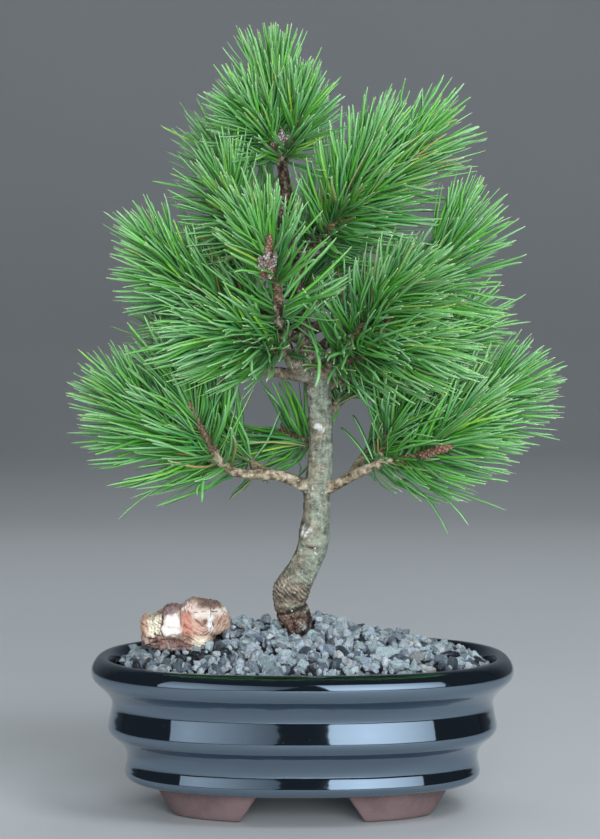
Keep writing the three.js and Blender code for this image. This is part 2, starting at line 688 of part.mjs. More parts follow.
function makeSpray(name, seed) {
  const core = shootCore(name);
  const random = seededRandom(seed);
  const parts = [solidFrom(rodGeometry(core.path, core.radius, SHOOT_SIDES, SHOOT_STEPS))];
  for (let index = 0; index < NEEDLES_PER_SHOOT; index += 1) {
    const needle = placeNeedle(name, core, index, random);
    if (!needle) continue;
    const { path } = needle;
    const shape = { pointed: true, heading: path(1).sub(path(0)).normalize() };
    parts.push(solidFrom(rodGeometry(path, needleRadius, NEEDLE_SIDES, 1, shape)));
    placedRods.push(...needle.stretches);
    placedRods.push(...needle.outer.map((stretch) => ({ ...stretch, outer: true })));
  }
  return geometryFrom(wasm.Manifold.union(parts));
}

// Assembly

const bonsai = new THREE.Group();
bonsai.position.copy(POT_PLACE);

function addPiece(name, geometry, material) {
  const piece = new THREE.Mesh(geometry, material);
  piece.name = name;
  bonsai.add(piece);
}

addPiece('pot', makePot(), BLACK_GLAZE);
addPiece('drain_screen_left', makeDrainScreen(-1), SCREEN_PLASTIC);
addPiece('drain_screen_right', makeDrainScreen(1), SCREEN_PLASTIC);
addPiece('soil', makeSoil(), DARK_SOIL);
addPiece('gravel', makeGravel(), GREY_GRAVEL);
addPiece('accent_stone', geometryFrom(solidFrom(accentStoneGeometry(0))), BANDED_STONE);
addPiece('trunk_and_branches', makeWood(), PINE_BARK);

const shootNames = Object.keys(SHOOTS);
for (const name of shootNames) {
  const core = shootCore(name);
  placedRods.push(...stretchesOf(core.path, core.radius, SHOOT_STEPS, name));
}
shootNames.forEach((name, index) => {
  addPiece(`spray_${name}`, makeSpray(name, 101 + index), PINE_NEEDLE);
});

export default bonsai;
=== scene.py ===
"""A mugo pine bonsai in an oval black glazed pot: its finished surfaces, built round the frame."""

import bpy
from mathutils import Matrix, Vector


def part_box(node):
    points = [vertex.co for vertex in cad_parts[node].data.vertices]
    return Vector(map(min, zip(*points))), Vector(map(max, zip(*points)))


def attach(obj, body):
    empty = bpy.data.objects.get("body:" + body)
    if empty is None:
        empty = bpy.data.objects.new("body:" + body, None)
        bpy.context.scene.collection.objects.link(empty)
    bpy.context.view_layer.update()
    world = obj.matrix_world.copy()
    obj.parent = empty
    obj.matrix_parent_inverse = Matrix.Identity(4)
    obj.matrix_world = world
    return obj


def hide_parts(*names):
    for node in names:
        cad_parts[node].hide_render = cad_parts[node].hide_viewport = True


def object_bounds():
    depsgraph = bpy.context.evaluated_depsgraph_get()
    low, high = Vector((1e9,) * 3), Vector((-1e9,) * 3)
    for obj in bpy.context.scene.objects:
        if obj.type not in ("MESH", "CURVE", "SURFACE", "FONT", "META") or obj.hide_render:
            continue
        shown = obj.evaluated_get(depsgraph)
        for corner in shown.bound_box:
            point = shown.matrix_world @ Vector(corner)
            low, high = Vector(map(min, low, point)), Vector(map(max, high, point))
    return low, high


bl_info = {
    "name": "Mugo Pine Bonsai",
    "version": (1, 0, 0),
    "blender": (4, 5, 0),
    "location": "3D View > Sidebar > Bonsai",
    "description": "Builds the needles, bark, gravel, stone and glazed pot of a small mugo pine",
    "category": "Object",
}

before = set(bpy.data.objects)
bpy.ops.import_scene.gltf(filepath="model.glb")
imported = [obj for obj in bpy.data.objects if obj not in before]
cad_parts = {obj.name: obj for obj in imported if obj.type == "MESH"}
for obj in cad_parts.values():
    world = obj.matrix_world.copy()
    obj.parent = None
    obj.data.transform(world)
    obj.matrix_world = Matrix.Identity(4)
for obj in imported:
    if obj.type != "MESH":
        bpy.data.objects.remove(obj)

import math

import bpy
import numpy as np
from bpy.props import FloatProperty, FloatVectorProperty, PointerProperty
from mathutils import Vector

CAD_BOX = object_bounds()
BODY = "root"
MM = 0.001
TURN = 2 * math.pi
GOLDEN_ANGLE = np.radians(137.508)

# The pot's middle, on the surface it stands on. Every place below is in millimetres from here.
POT_LOW, POT_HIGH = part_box("pot")
POT_PLACE = np.array([(POT_LOW.x + POT_HIGH.x) / 2, (POT_LOW.y + POT_HIGH.y) / 2, 0.0])

# The picture is taken from this far in front of the trunk and this high, and its middle is this
# high and this much to the left of the pot's.
VIEW_DISTANCE = 1400
VIEW_HEIGHT = 273.5
AIM_HEIGHT = 193.5
AIM_LEFT = 1.2

# The pot is an oval: a superellipse whose half depth is this much less than its half length. Rings
# with a half length under the core's have less of the inset, in proportion.
PLAN_INSET = 25
PLAN_POWER = 2.4
PLAN_CORE = 60
# Half length and height of the pot's wall: outside from the base up to the rim, then inside down.
POT_BASE_HEIGHT = 14.5
POT_WALL = [
    (0, POT_BASE_HEIGHT), (40, 14.5), (70, 14.5), (77, 14.6), (82, 14.9), (85.6, 15.8), (87.8, 17.3),
    (88.5, 19.3), (88.1, 21.9), (87.5, 25), (87.5, 28.6), (88.6, 31.8), (91.4, 35.2), (94.6, 37.9),
    (96.3, 40), (96.8, 42.2), (96.4, 45), (95.4, 50), (94.9, 54), (96, 57.4), (98.8, 60.9),
    (102.2, 64), (104.4, 66.6), (105, 69.4), (104.6, 71.7), (103, 74.3), (100.8, 75.9), (98.6, 76.4),
    (97, 76.1), (95.5, 74.2), (94.3, 71), (93.2, 66), (91, 52), (88, 39.6), (84, 32), (80, 24.5),
    (76, 20.8), (70, 20.3), (40, 19.9), (0, 19.5),
]
# Half lengths of the ring of feet, outside and inside, at the floor and at the top of the ring.
FOOT_OUTSIDE = (70, 76)
FOOT_INSIDE = (57, 61)

# Trunk and leader: x, y, z and radius of each station, from the stump in the soil to the top.
TRUNK = [
    (-3, 0, 45.5, 5.6), (-2.9, 0, 65.5, 6.4), (-2.6, 0, 83.5, 6.6), (-2.3, 0, 89, 7),
    (-3, 0, 93.5, 7.9), (-4.8, 0, 98, 8.1), (-6.8, 0, 102.2, 7.5), (-5.7, 0, 108, 9.3),
    (-2.2, 0, 114.5, 8), (2.2, 0, 123, 7.3), (5.5, 0, 131.9, 7.4), (5.9, 0, 137.5, 7.7),
    (6.9, 0, 145.5, 6.7), (7.1, 0, 158.5, 6.6), (8.5, 0, 169.5, 6.1), (9.2, 0, 185.5, 5.8),
    (8.7, 0, 201.5, 6.2), (6.9, 0, 214.5, 6.5), (3.9, 2, 223.5, 5.4), (1.2, 4, 233.2, 4.6),
    (-2.2, 7, 253, 4.2), (-5.2, 8, 275.3, 3.6), (-7.2, 6, 300, 3.1), (-9.7, 4, 317.3, 2.7),
    (-12.1, 2, 332.2, 2.3),
]

# Each shoot: its limb's stations from inside the wood it grows on, the place of its tip, the
# length of its needles, how far they droop, and how many pairs of them it has.
SHOOTS = {
    "apex": ([], (-14, 0, 356.5), 35.5, 0.02, 105),
    "apex_left": ([(-10.6, 4, 323.5, 2), (-16, 0, 330, 1.8)], (-23, -6, 340.5), 31, 0.04, 80),
    "apex_right": ([(-10, 4, 319.5, 2), (-6, 0, 328, 1.8)], (-3, -6, 343), 31, 0.04, 80),
    "upper_left": (
        [(-5.2, 8, 273.5, 2.8), (-19, -2, 283.2, 2.3), (-29, -6, 289.5, 2)],
        (-35, -11, 304), 34, 0.06, 110),
    "upper_middle": ([(6, 3, 277.5, 2.4), (13, -4, 287.5, 2)], (30, -14, 319), 40, 0.05, 110),
    "upper_right": (
        [(-4, 8, 265.5, 3.2), (8.7, 2, 280.2, 3), (20, -1, 290.5, 2.5), (28, -3, 298.5, 2.1)],
        (50.7, -10, 323.5), 42, 0.08, 130),
    "left_mid": (
        [(1, 4, 232.5, 3.2), (-16, 0, 240.5, 2.9), (-32, -4, 246.5, 2.6), (-45, -8, 252.5, 2.1)],
        (-63, -14, 269), 40, 0.08, 125),
    "front_centre": (
        [(6, 0, 213.5, 4.4), (-1.2, -9, 218.3, 4.1), (-6.7, -17, 227.2, 3.4),
         (-10.6, -24, 238.1, 3), (-11.6, -32, 253, 2.4)],
        (-16.6, -50, 278.5), 43, 0.1, 140),
    "right_centre": (
        [(6.7, 0, 212.5, 3.8), (12, -5, 218.5, 3.4), (18.6, -12, 225.8, 3), (26, -20, 236.5, 2.4)],
        (43, -38, 255.5), 44, 0.1, 135),
    "right_far": (
        [(1, 5, 236.5, 3.2), (20, 6, 244.5, 3), (40, 5, 251.5, 2.6), (56, 2, 258.5, 2.1)],
        (70, -4, 276), 44, 0.08, 115),
    "front_low_left": (
        [(-6, -16, 226, 2.4), (-14, -23, 228.5, 2)], (-34, -38, 235.5), 44, 0.2, 110),
    "front_low_right": (
        [(15, -8, 221.5, 2.4), (23, -15, 223.5, 2)], (44, -31, 229.5), 44, 0.2, 110),
    "low_left_tip": (
        [(5.5, 0, 158, 3.6), (-5.2, -5, 164, 3), (-16, -9, 166.9, 2.7),
         (-26, -12, 167.3, 2.6), (-35, -14, 169.3, 2.5), (-40.3, -16, 173.5, 2.3),
         (-43.5, -17, 179, 2.1)],
        (-57, -23, 204.5), 42, 0.06, 115),
    "low_left_side": (
        [(-37, -14.5, 170.5, 2.3), (-46, -11, 175.5, 2.1), (-54, -9, 179, 1.9)],
        (-78, -13, 197), 43, 0.07, 130),
    "low_left_back": (
        [(-15, -8.5, 166.5, 2.3), (-23, 1, 170.5, 2.1), (-31, 12, 176.5, 1.9)],
        (-50, 26, 196), 40, 0.1, 105),
    "low_right_front": (
        [(8, 0, 157, 3.4), (17.6, -4, 161.9, 2.8), (24.5, -7, 165.9, 2.6),
         (31.4, -9, 169.3, 2.5), (38.4, -11, 172.5, 2.4), (48, -14, 174, 2)],
        (72, -25, 189.5), 41, 0.06, 105),
    "low_right_inner": (
        [(37, -10.6, 172, 2.2), (39, -12, 178.5, 1.9)], (48, -17, 200), 38, 0.08, 90),
    "low_right_main": (
        [(40, -11, 173, 2.3), (52, -7, 178.5, 2.1), (63, -5, 184.5, 1.9)],
        (91, -10, 204), 43, 0.1, 130),
    "low_right_back": (
        [(24, -6.5, 165.5, 2.3), (28, 4, 171.5, 2.1), (35, 15, 178.5, 1.9)],
        (62, 32, 194), 38, 0.2, 105),
    "behind_trunk": (
        [(9, 1, 177.5, 2.4), (4.5, 9, 180, 2.2), (0, 16, 182, 2)], (-11, 34, 186), 40, 0.12, 100),
    "behind_right": (
        [(9, 1, 193.5, 2.5), (16, 9, 199.5, 2.3), (23, 16, 205.5, 2)], (44, 33, 221), 42, 0.16, 100),
    "back_mid_left": (
        [(1, 5, 234.5, 3), (-10, 15, 241.5, 2.6), (-24, 28, 247.5, 2.1)],
        (-44, 45, 263.5), 43, 0.12, 110),
    "back_mid": (
        [(-1, 7, 246.5, 3), (-1, 20, 253.5, 2.6), (1, 35, 260.5, 2.1)], (5, 55, 279.5), 43, 0.1, 115),
    "back_mid_right": (
        [(3, 3, 224.5, 3), (16, 16, 233.5, 2.6), (32, 30, 241.5, 2.1)], (53, 46, 255.5), 43, 0.14, 110),
    "back_upper_left": (
        [(-5.5, 7.5, 282.5, 2.6), (-14, 16, 290.5, 2.3), (-21, 22, 297.5, 2)],
        (-35, 34, 318.5), 41, 0.08, 105),
    "back_upper_right": (
        [(-5, 8, 271.5, 2.8), (6, 16, 283.5, 2.4), (15, 22, 292.5, 2)], (30, 36, 312.5), 41, 0.08, 105),
    "back_left_low": (
        [(6, 1, 213.5, 3.2), (-12, 12, 216.5, 2.7), (-34, 22, 218.5, 2.3), (-51, 28, 222.5, 2)],
        (-60, 36, 239), 38, 0.12, 110),
    "back_right_low": (
        [(8, 1, 209.5, 3.2), (26, 13, 213.5, 2.7), (47, 23, 217.5, 2.2)],
        (72, 35, 231.5), 44, 0.16, 105),
}

# The gravel mound: its height at the pot's wall, its rise to the middle, its half length and half
# depth, and the heaps on it, each with x, y, spread and height.
MOUND_EDGE = 72.5
MOUND_RISE = 16.5
MOUND_LENGTH = 93
MOUND_DEPTH = 68
MOUND_HEAPS = [(9, 9, 13, 6), (-30, 14, 13, 5)]

# The accent stone: its middle and its half sizes.
ACCENT_PLACE = (-58, -6, 91.5)
ACCENT_HALF = (23.5, 16, 14.5)


class TreeSizes(bpy.types.PropertyGroup):
    """Sizes of the pine's needles, shoots and bark."""
    needle_width: FloatProperty(
        name="Needle Width", description="Widest part of one needle",
        default=1.62 * MM, min=0.5 * MM, max=3 * MM, unit="LENGTH")
    needle_count: FloatProperty(
        name="Needle Count", description="Share of the full number of needles that is made",
        default=1.0, min=0.05, max=1.0, subtype="FACTOR")
    shoot_radius: FloatProperty(
        name="Shoot Radius", description="Radius of a shoot under its needles",
        default=2.1 * MM, min=1 * MM, max=4 * MM, unit="LENGTH")
    bark_relief: FloatProperty(
        name="Bark Relief", description="Height of the ridges and scars of the bark",
        default=0.55 * MM, min=0.0, max=1.5 * MM, unit="LENGTH")
    bark_grid: FloatProperty(
        name="Bark Grid", description="Spacing of the points on the wood's surface",
        default=0.62 * MM, min=0.4 * MM, max=2 * MM, unit="LENGTH")


class PotSizes(bpy.types.PropertyGroup):
    """Sizes of the oval pot's feet."""
    foot_height: FloatProperty(
        name="Foot Height", description="Height at which the feet run into the pot's base",
        default=17 * MM, unit="LENGTH")
    front_opening_low: FloatProperty(
        name="Front Opening", description="Width between the front feet, where they stand",
        default=61.5 * MM, unit="LENGTH")
    front_opening_high: FloatProperty(
        name="Front Opening Top", description="Width between the front feet, at the base",
        default=43.5 * MM, unit="LENGTH")
    end_opening_low: FloatProperty(
        name="End Opening", description="Width between an end's feet, where they stand",
        default=50 * MM, unit="LENGTH")
    end_opening_high: FloatProperty(
        name="End Opening Top", description="Width between an end's feet, at the base",
        default=30 * MM, unit="LENGTH")


class GravelSizes(bpy.types.PropertyGroup):
    """Sizes of the crushed stone."""
    stone_pitch: FloatProperty(
        name="Stone Pitch", description="Distance from one stone to the next",
        default=5.8 * MM, min=3 * MM, max=12 * MM, unit="LENGTH")
    stone_size: FloatProperty(
        name="Stone Size", description="Half the length of a middling stone",
        default=4.1 * MM, min=1 * MM, max=8 * MM, unit="LENGTH")


class Colours(bpy.types.PropertyGroup):
    """Main colours of the finishes."""
    needle: FloatVectorProperty(
        name="Needle", description="Middle green of the needles", subtype="COLOR",
        default=(0.074, 0.312, 0.031), min=0, max=1)
    # The brown of the left side is also a little darker than the grey green front, partly as painted
    # shade.
    bark: FloatVectorProperty(
        name="Bark", description="Brown of the trunk's left side", subtype="COLOR",
        default=(0.215, 0.19, 0.142), min=0, max=1)
    lichen: FloatVectorProperty(
        name="Lichen", description="Grey green film on the bark", subtype="COLOR",
        default=(0.205, 0.225, 0.176), min=0, max=1)
    gravel: FloatVectorProperty(
        name="Gravel", description="Grey blue of the crushed stone", subtype="COLOR",
        default=(0.46, 0.52, 0.575), min=0, max=1)
    glaze: FloatVectorProperty(
        name="Glaze", description="Colour of what the black glaze mirrors", subtype="COLOR",
        default=(0.222, 0.288, 0.362), min=0, max=1)
    clay: FloatVectorProperty(
        name="Clay", description="Bare fired clay of the feet", subtype="COLOR",
        default=(0.138, 0.092, 0.092), min=0, max=1)
    floor: FloatVectorProperty(
        name="Floor", description="Pale floor under the pot", subtype="COLOR",
        default=(0.50, 0.505, 0.51), min=0, max=1)


class StageSizes(bpy.types.PropertyGroup):
    """Camera and light."""
    camera_distance: FloatProperty(
        name="Camera Distance", description="Distance from the camera to the trunk",
        default=VIEW_DISTANCE * MM, min=0.5, max=5, unit="LENGTH")
    camera_height: FloatProperty(
        name="Camera Height", description="Height of the camera above the floor",
        default=VIEW_HEIGHT * MM, min=0, max=2, unit="LENGTH")
    picture_height: FloatProperty(
        name="Picture Height", description="Height that the picture takes in at the trunk",
        default=0.4155, min=0.1, max=2, unit="LENGTH")
    light: FloatProperty(
        name="Light", description="Strength of all the studio lights",
        default=1.0, min=0.1, max=4, subtype="FACTOR")


class BonsaiSettings(bpy.types.PropertyGroup):
    """Everything that can be set for the bonsai."""
    tree: PointerProperty(type=TreeSizes)
    pot: PointerProperty(type=PotSizes)
    gravel: PointerProperty(type=GravelSizes)
    colours: PointerProperty(type=Colours)
    stage: PointerProperty(type=StageSizes)


def settings():
    return bpy.context.scene.bonsai


# Shader maths

class Value:
    """One output socket of a material, so that maths on it is written as an expression."""

    def __init__(self, finish, socket):
        self.finish = finish
        self.socket = socket

    def maths(self, operation, *values):
        return self.finish.node("ShaderNodeMath", {"operation": operation}, dict(enumerate(values)))

    def __add__(self, other):
        return self.maths("ADD", self, other)

    def __radd__(self, other):
        return self.maths("ADD", other, self)

    def __sub__(self, other):
        return self.maths("SUBTRACT", self, other)

    def __mul__(self, other):
        return self.maths("MULTIPLY", self, other)

    def __rmul__(self, other):
        return self.maths("MULTIPLY", other, self)


class Finish:
    """A material with one surface shader, and one method that adds any other node to it."""

    def __init__(self, name, **constants):
        self.material = bpy.data.materials.new(name)
        self.material.use_nodes = True
        self.tree = self.material.node_tree
        self.shader = next(n for n in self.tree.nodes if n.type == "BSDF_PRINCIPLED")
        for socket, value in constants.items():
            self.shader.inputs[socket.replace("_", " ")].default_value = value

    def node(self, kind, settings=None, inputs=None, output=0):
        """Adds a node: its settings come first, then the values or links of its sockets."""
        node = self.tree.nodes.new(kind)
        for name, value in (settings or {}).items():
            if name == "stops":
                self.set_stops(node.color_ramp, value)
            else:
                setattr(node, name, value)
        for name, value in (inputs or {}).items():
            self.feed(node.inputs[name], value)
        return Value(self, node.outputs[output])

    @staticmethod
    def set_stops(ramp, stops):
        while len(ramp.elements) < len(stops):
            ramp.elements.new(1.0)
        for element, (position, colour) in zip(ramp.elements, stops):
            element.position = position
            element.color = (*colour, 1.0)

    def feed(self, socket, value):
        if isinstance(value, Value):
            self.tree.links.new(value.socket, socket)
        elif hasattr(value, "__len__") and len(socket.default_value) == 4 and len(value) == 3:
            socket.default_value = (*value, 1.0)
        else:
            socket.default_value = value

    def surface(self, **inputs):
        """Links values that change over the surface to the shader's sockets."""
        for name, value in inputs.items():
            self.feed(self.shader.inputs[name.replace("_", " ")], value)
        return self.material

    def place(self):
        return self.node("ShaderNodeTexCoord", output="Object")

    def attribute(self, name, output="Fac"):
        return self.node("ShaderNodeAttribute", {"attribute_name": name}, output=output)

    def noise(self, scale, detail=3.0, roughness=0.55, place=None):
        """Noise over Object coordinates or another place, with its scale counted per metre."""
        return self.node(
            "ShaderNodeTexNoise", inputs={
                "Vector": place or self.place(), "Scale": scale, "Detail": detail,
                "Roughness": roughness})

    def spots(self, scale):
        """Distance to the nearest of many scattered points."""
        return self.node(
            "ShaderNodeTexVoronoi", inputs={"Vector": self.place(), "Scale": scale},
            output="Distance")

    def fade(self, value, low, high, start=0.0, end=1.0):
        """Runs smoothly from start to end while the value runs from low to high."""
        return self.node(
            "ShaderNodeMapRange", {"interpolation_type": "SMOOTHSTEP"},
            {"Value": value, "From Min": low, "From Max": high, "To Min": start, "To Max": end})

    def ramp(self, value, stops):
        return self.node("ShaderNodeValToRGB", {"stops": stops}, {"Fac": value}, "Color")

    def mix(self, share, first, second, blend="MIX"):
        return self.node(
            "ShaderNodeMix", {"data_type": "RGBA", "blend_type": blend, "clamp_factor": True},
            {0: share, 6: first, 7: second}, 2)

    def bump(self, height, strength, distance):
        return self.node(
            "ShaderNodeBump", inputs={
                "Height": height, "Strength": strength, "Distance": distance}, output="Normal")


def shaded(colour, amount):
    """A colour made lighter or darker by a factor."""
    return tuple(min(1.0, c * amount) for c in colour)


# Surfaces

def grid_faces(rows, columns, close_columns=False):
    """Corner numbers of the quads of a grid of points, with its last column joined to its first
    where asked."""
    r = np.arange(rows - 1)[:, None]
    c = np.arange(columns if close_columns else columns - 1)[None, :]
    r_next = r + 1
    c_next = (c + 1) % columns
    corners = [r * columns + c, r * columns + c_next, r_next * columns + c_next, r_next * columns + c]
    return np.stack([np.broadcast_to(k, np.broadcast_shapes(r.shape, c.shape)) for k in corners],
                    axis=-1).reshape(-1, 4)


def closed_grid(rows, columns, flipped=False):
    """Faces of a grid of points whose rows are joined round, and which closes in a pole beyond
    each end. The two poles are the points after the grid's own."""
    here = np.arange(columns)
    there = (here + 1) % columns
    last = (rows - 1) * columns
    poles = rows * columns
    caps = np.concatenate([
        np.stack([there, here, np.full(columns, poles)], axis=-1),
        np.stack([last + here, last + there, np.full(columns, poles + 1)], axis=-1)])
    walls = grid_faces(rows, columns, close_columns=True)
    return [walls[:, ::-1], caps[:, ::-1]] if flipped else [walls, caps]


def fill_mesh(mesh, points, face_sets):
    """Puts arrays of points, in millimetres from the pot's middle, and faces into a mesh."""
    sizes = np.concatenate([np.full(len(f), f.shape[1]) for f in face_sets])
    corners = np.concatenate([f.reshape(-1) for f in face_sets]).astype(np.int32)
    mesh.vertices.add(len(points))
    mesh.vertices.foreach_set("co", (points * MM + POT_PLACE).astype(np.float32).reshape(-1))
    mesh.loops.add(len(corners))
    mesh.loops.foreach_set("vertex_index", corners)
    mesh.polygons.add(len(sizes))
    mesh.polygons.foreach_set("loop_start", (np.cumsum(sizes) - sizes).astype(np.int32))
    mesh.update(calc_edges=True)
    mesh.validate()


def add_piece(name, points, face_sets, finish, replaces, smooth=True, marks=None):
    """Makes one finished piece, which rides on the body and stands for the named solids."""
    mesh = bpy.data.meshes.new(name)
    fill_mesh(mesh, points, face_sets)
    mesh.materials.append(finish)
    for mark, values in (marks or {}).items():
        values = np.asarray(values, np.float32)
        if values.shape[-1] == 3:
            layer = mesh.attributes.new(mark, "FLOAT_COLOR", "POINT")
            shades = np.concatenate([values, np.ones((len(values), 1), np.float32)], axis=1)
            layer.data.foreach_set("color", shades.reshape(-1))
        else:
            layer = mesh.attributes.new(mark, "FLOAT", "POINT")
            layer.data.foreach_set("value", values.reshape(-1))
    mesh.polygons.foreach_set("use_smooth", np.full(len(mesh.polygons), smooth))
    piece = bpy.data.objects.new(name, mesh)
    bpy.context.scene.collection.objects.link(piece)
    seat_piece(piece, replaces)


def seat_piece(piece, replaces):
    """Puts a piece on the body it rides on, and hides the solids that it stands for."""
    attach(piece, BODY)
    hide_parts(*replaces)


def unit(vectors):
    """The vectors at length one."""
    return vectors / np.maximum(np.linalg.norm(vectors, axis=-1, keepdims=True), 1e-9)


def across(a, b):
    return np.cross(a, b, axis=-1)


def rods(middles, radii, section, hints):
    """Surfaces of many rods. Each has stations along a middle line. At a station the section, which
    is points round a unit circle, is laid square to the line and drawn out to the radius there.
    Each rod closes in a pole at both ends. middles is (rods, stations, 3), radii (rods, stations),
    section (corners, 2) and hints (rods, 3) gives each section its turn."""
    count, stations, _ = middles.shape
    corners = len(section)
    ahead = unit(np.gradient(middles, axis=1))
    side = np.broadcast_to(hints[:, None, :], middles.shape)
    side = unit(side - (side * ahead).sum(-1, keepdims=True) * ahead)
    over = across(ahead, side)
    spread = section[:, 0, None] * side[:, :, None, :] + section[:, 1, None] * over[:, :, None, :]
    rings = middles[:, :, None, :] + radii[:, :, None, None] * spread
    each = stations * corners + 2
    points = np.empty((count, each, 3))
    points[:, :-2] = rings.reshape(count, -1, 3)
    points[:, -2] = middles[:, 0]
    points[:, -1] = middles[:, -1]
    start = (np.arange(count) * each)[:, None, None]
    walls, caps = closed_grid(stations, corners)
    faces = [(walls[None] + start).reshape(-1, 4), (caps[None] + start).reshape(-1, 3)]
    return points.reshape(-1, 3), faces


def per_rod(values, stations, corners):
    """Spreads one value for each rod over all its points."""
    return np.repeat(np.asarray(values), stations * corners + 2)


def per_station(values, corners):
    """Spreads values of each rod's stations over the points of their rings and the two poles."""
    count = values.shape[0]
    rings = np.repeat(values, corners, axis=1)
    return np.concatenate([rings, values[:, :1], values[:, -1:]], axis=1).reshape(count, -1)


def circle(corners):
    angle = np.arange(corners) * TURN / corners
    return np.stack([np.cos(angle), np.sin(angle)], axis=-1)


def smooth_line(stations, samples):
    """A smooth line through stations: the centripetal Catmull-Rom curve, as in the solids. Between
    two stations the point is blended from the four nearest, with knots spaced by the square root
    of their distances. Other columns, such as the radius, run straight from station to station."""
    rows = np.asarray(stations, float)
    places = rows[:, :3]
    first = 2 * places[0] - places[1]
    last = 2 * places[-1] - places[-2]
    p = np.concatenate([[first], places, [last]])
    at = np.linspace(0, len(places) - 1, samples)
    low = np.minimum(at.astype(int), len(places) - 2)
    f = (at - low)[:, None]
    p0, p1, p2, p3 = (p[low + k] for k in range(4))
    gap = [np.maximum(np.linalg.norm(b - a, axis=1, keepdims=True), 1e-6) ** 0.5
           for a, b in ((p0, p1), (p1, p2), (p2, p3))]
    slope1 = ((p1 - p0) / gap[0] - (p2 - p0) / (gap[0] + gap[1]) + (p2 - p1) / gap[1]) * gap[1]
    slope2 = ((p2 - p1) / gap[1] - (p3 - p1) / (gap[1] + gap[2]) + (p3 - p2) / gap[2]) * gap[1]
    f2, f3 = f * f, f * f * f
    line = ((2 * f3 - 3 * f2 + 1) * p1 + (f3 - 2 * f2 + f) * slope1
            + (3 * f2 - 2 * f3) * p2 + (f3 - f2) * slope2)
    rest = rows[low, 3:] * (1 - f) + rows[low + 1, 3:] * f
    return line, rest


def lattice_noise(points, pitch, seed):
    """Smooth noise from -1 to 1: a random value at each corner of a cubic lattice of that pitch,
    blended between the eight corners round a point by the smoothstep of its place in the cell."""
    spot = points / np.asarray(pitch, float)
    cell = np.floor(spot).astype(np.int64)
    f = spot - cell
    f = f * f * (3 - 2 * f)
    total = np.zeros(len(points))
    for corner in range(8):
        step = np.array([corner & 1, corner >> 1 & 1, corner >> 2])
        k = cell + step
        mixed = (k[:, 0] * 73856093 ^ k[:, 1] * 19349663 ^ k[:, 2] * 83492791 ^ seed * 2654435761)
        mixed = (mixed ^ (mixed >> 13)) * 1274126177 & 0xFFFFFFFF
        value = (mixed ^ (mixed >> 16) & 0xFFFF) % 65536 / 32767.5 - 1
        weight = np.prod(np.where(step, f, 1 - f), axis=1)
        total += weight * value
    return total


def signed_power(values, power):
    return np.sign(values) * np.abs(values) ** power


def oval(half_length, angle):
    """A point of the pot's oval plan: the half length of its ring, and the angle round it."""
    inset = PLAN_INSET * np.minimum(1, half_length / PLAN_CORE)
    x = half_length * signed_power(np.cos(angle), 2 / PLAN_POWER)
    y = (half_length - inset) * signed_power(np.sin(angle), 2 / PLAN_POWER)
    return x, y


def mound_height(x, y):
    """Height of the gravel mound: a dome that falls to the pot's wall, with round heaps on it."""
    share = (x / MOUND_LENGTH) ** 2 + (y / MOUND_DEPTH) ** 2
    height = MOUND_EDGE + MOUND_RISE * (1 - share)
    for heap_x, heap_y, spread, rise in MOUND_HEAPS:
        height = height + rise * np.exp(-((x - heap_x) ** 2 + (y - heap_y) ** 2) / spread ** 2)
    return height


# Finishes

def needle_finish(colours):
    """Green needles: each its own green, some bluer and some yellower, darkened towards the root with
    painted shade, paler towards the tip with a painted highlight, and silvery on the flat side."""
    f = Finish("pine_needle", Roughness=0.4, Coat_Weight=0.08, Coat_Roughness=0.3)
    green = tuple(colours.needle)
    along = f.attribute("along")
    base = f.ramp(f.attribute("tint"), [
        (0.0, shaded(green, 0.25)), (0.3, shaded(green, 0.62)), (0.52, green),
        (0.76, (green[0] * 1.75, green[1] * 1.42, green[2] * 1.5)),
        (0.9, (green[0] * 3.1, green[1] * 1.55, green[2] * 1.6)),
        (0.975, (green[0] * 5.0, green[1] * 1.45, green[2] * 1.5)), (1.0, (0.40, 0.27, 0.09))])
    cool = f.mix(f.fade(f.attribute("cool"), 0.6, 1.0, 0.0, 0.6), base, (0.065, 0.28, 0.12))
    # Painted shade: each needle darkens towards its root, deep in the spray.
    deep = f.mix(f.fade(along, 0.45, 0.05, 0.0, 0.75), cool, shaded(green, 0.16))
    silver = f.mix(f.attribute("flat") * 0.42, deep, (0.22, 0.46, 0.22))
    # Painted highlight: each needle pales towards its tip, more strongly on the cooler ones.
    tip_sheen = f.fade(along, 0.5, 0.98) * (0.12 + 0.5 * f.attribute("cool"))
    tip_sheened = f.mix(tip_sheen, silver, (0.36, 0.60, 0.32))
    streak = f.noise(900, 2)
    body = f.mix(f.fade(streak, 0.4, 0.75, 0.0, 0.3), tip_sheened, shaded(green, 0.5))
    tipped = f.mix(f.fade(along, 0.965, 1.0, 0.0, 0.8), body, (0.55, 0.53, 0.36))
    sheathed = f.mix(f.fade(along, 0.09, 0.02), tipped, (0.20, 0.15, 0.08))
    relief = f.bump(streak, 0.15, 0.0002)
    return f.surface(Base_Color=sheathed, Roughness=f.fade(streak, 0.2, 0.8, 0.3, 0.5), Normal=relief)


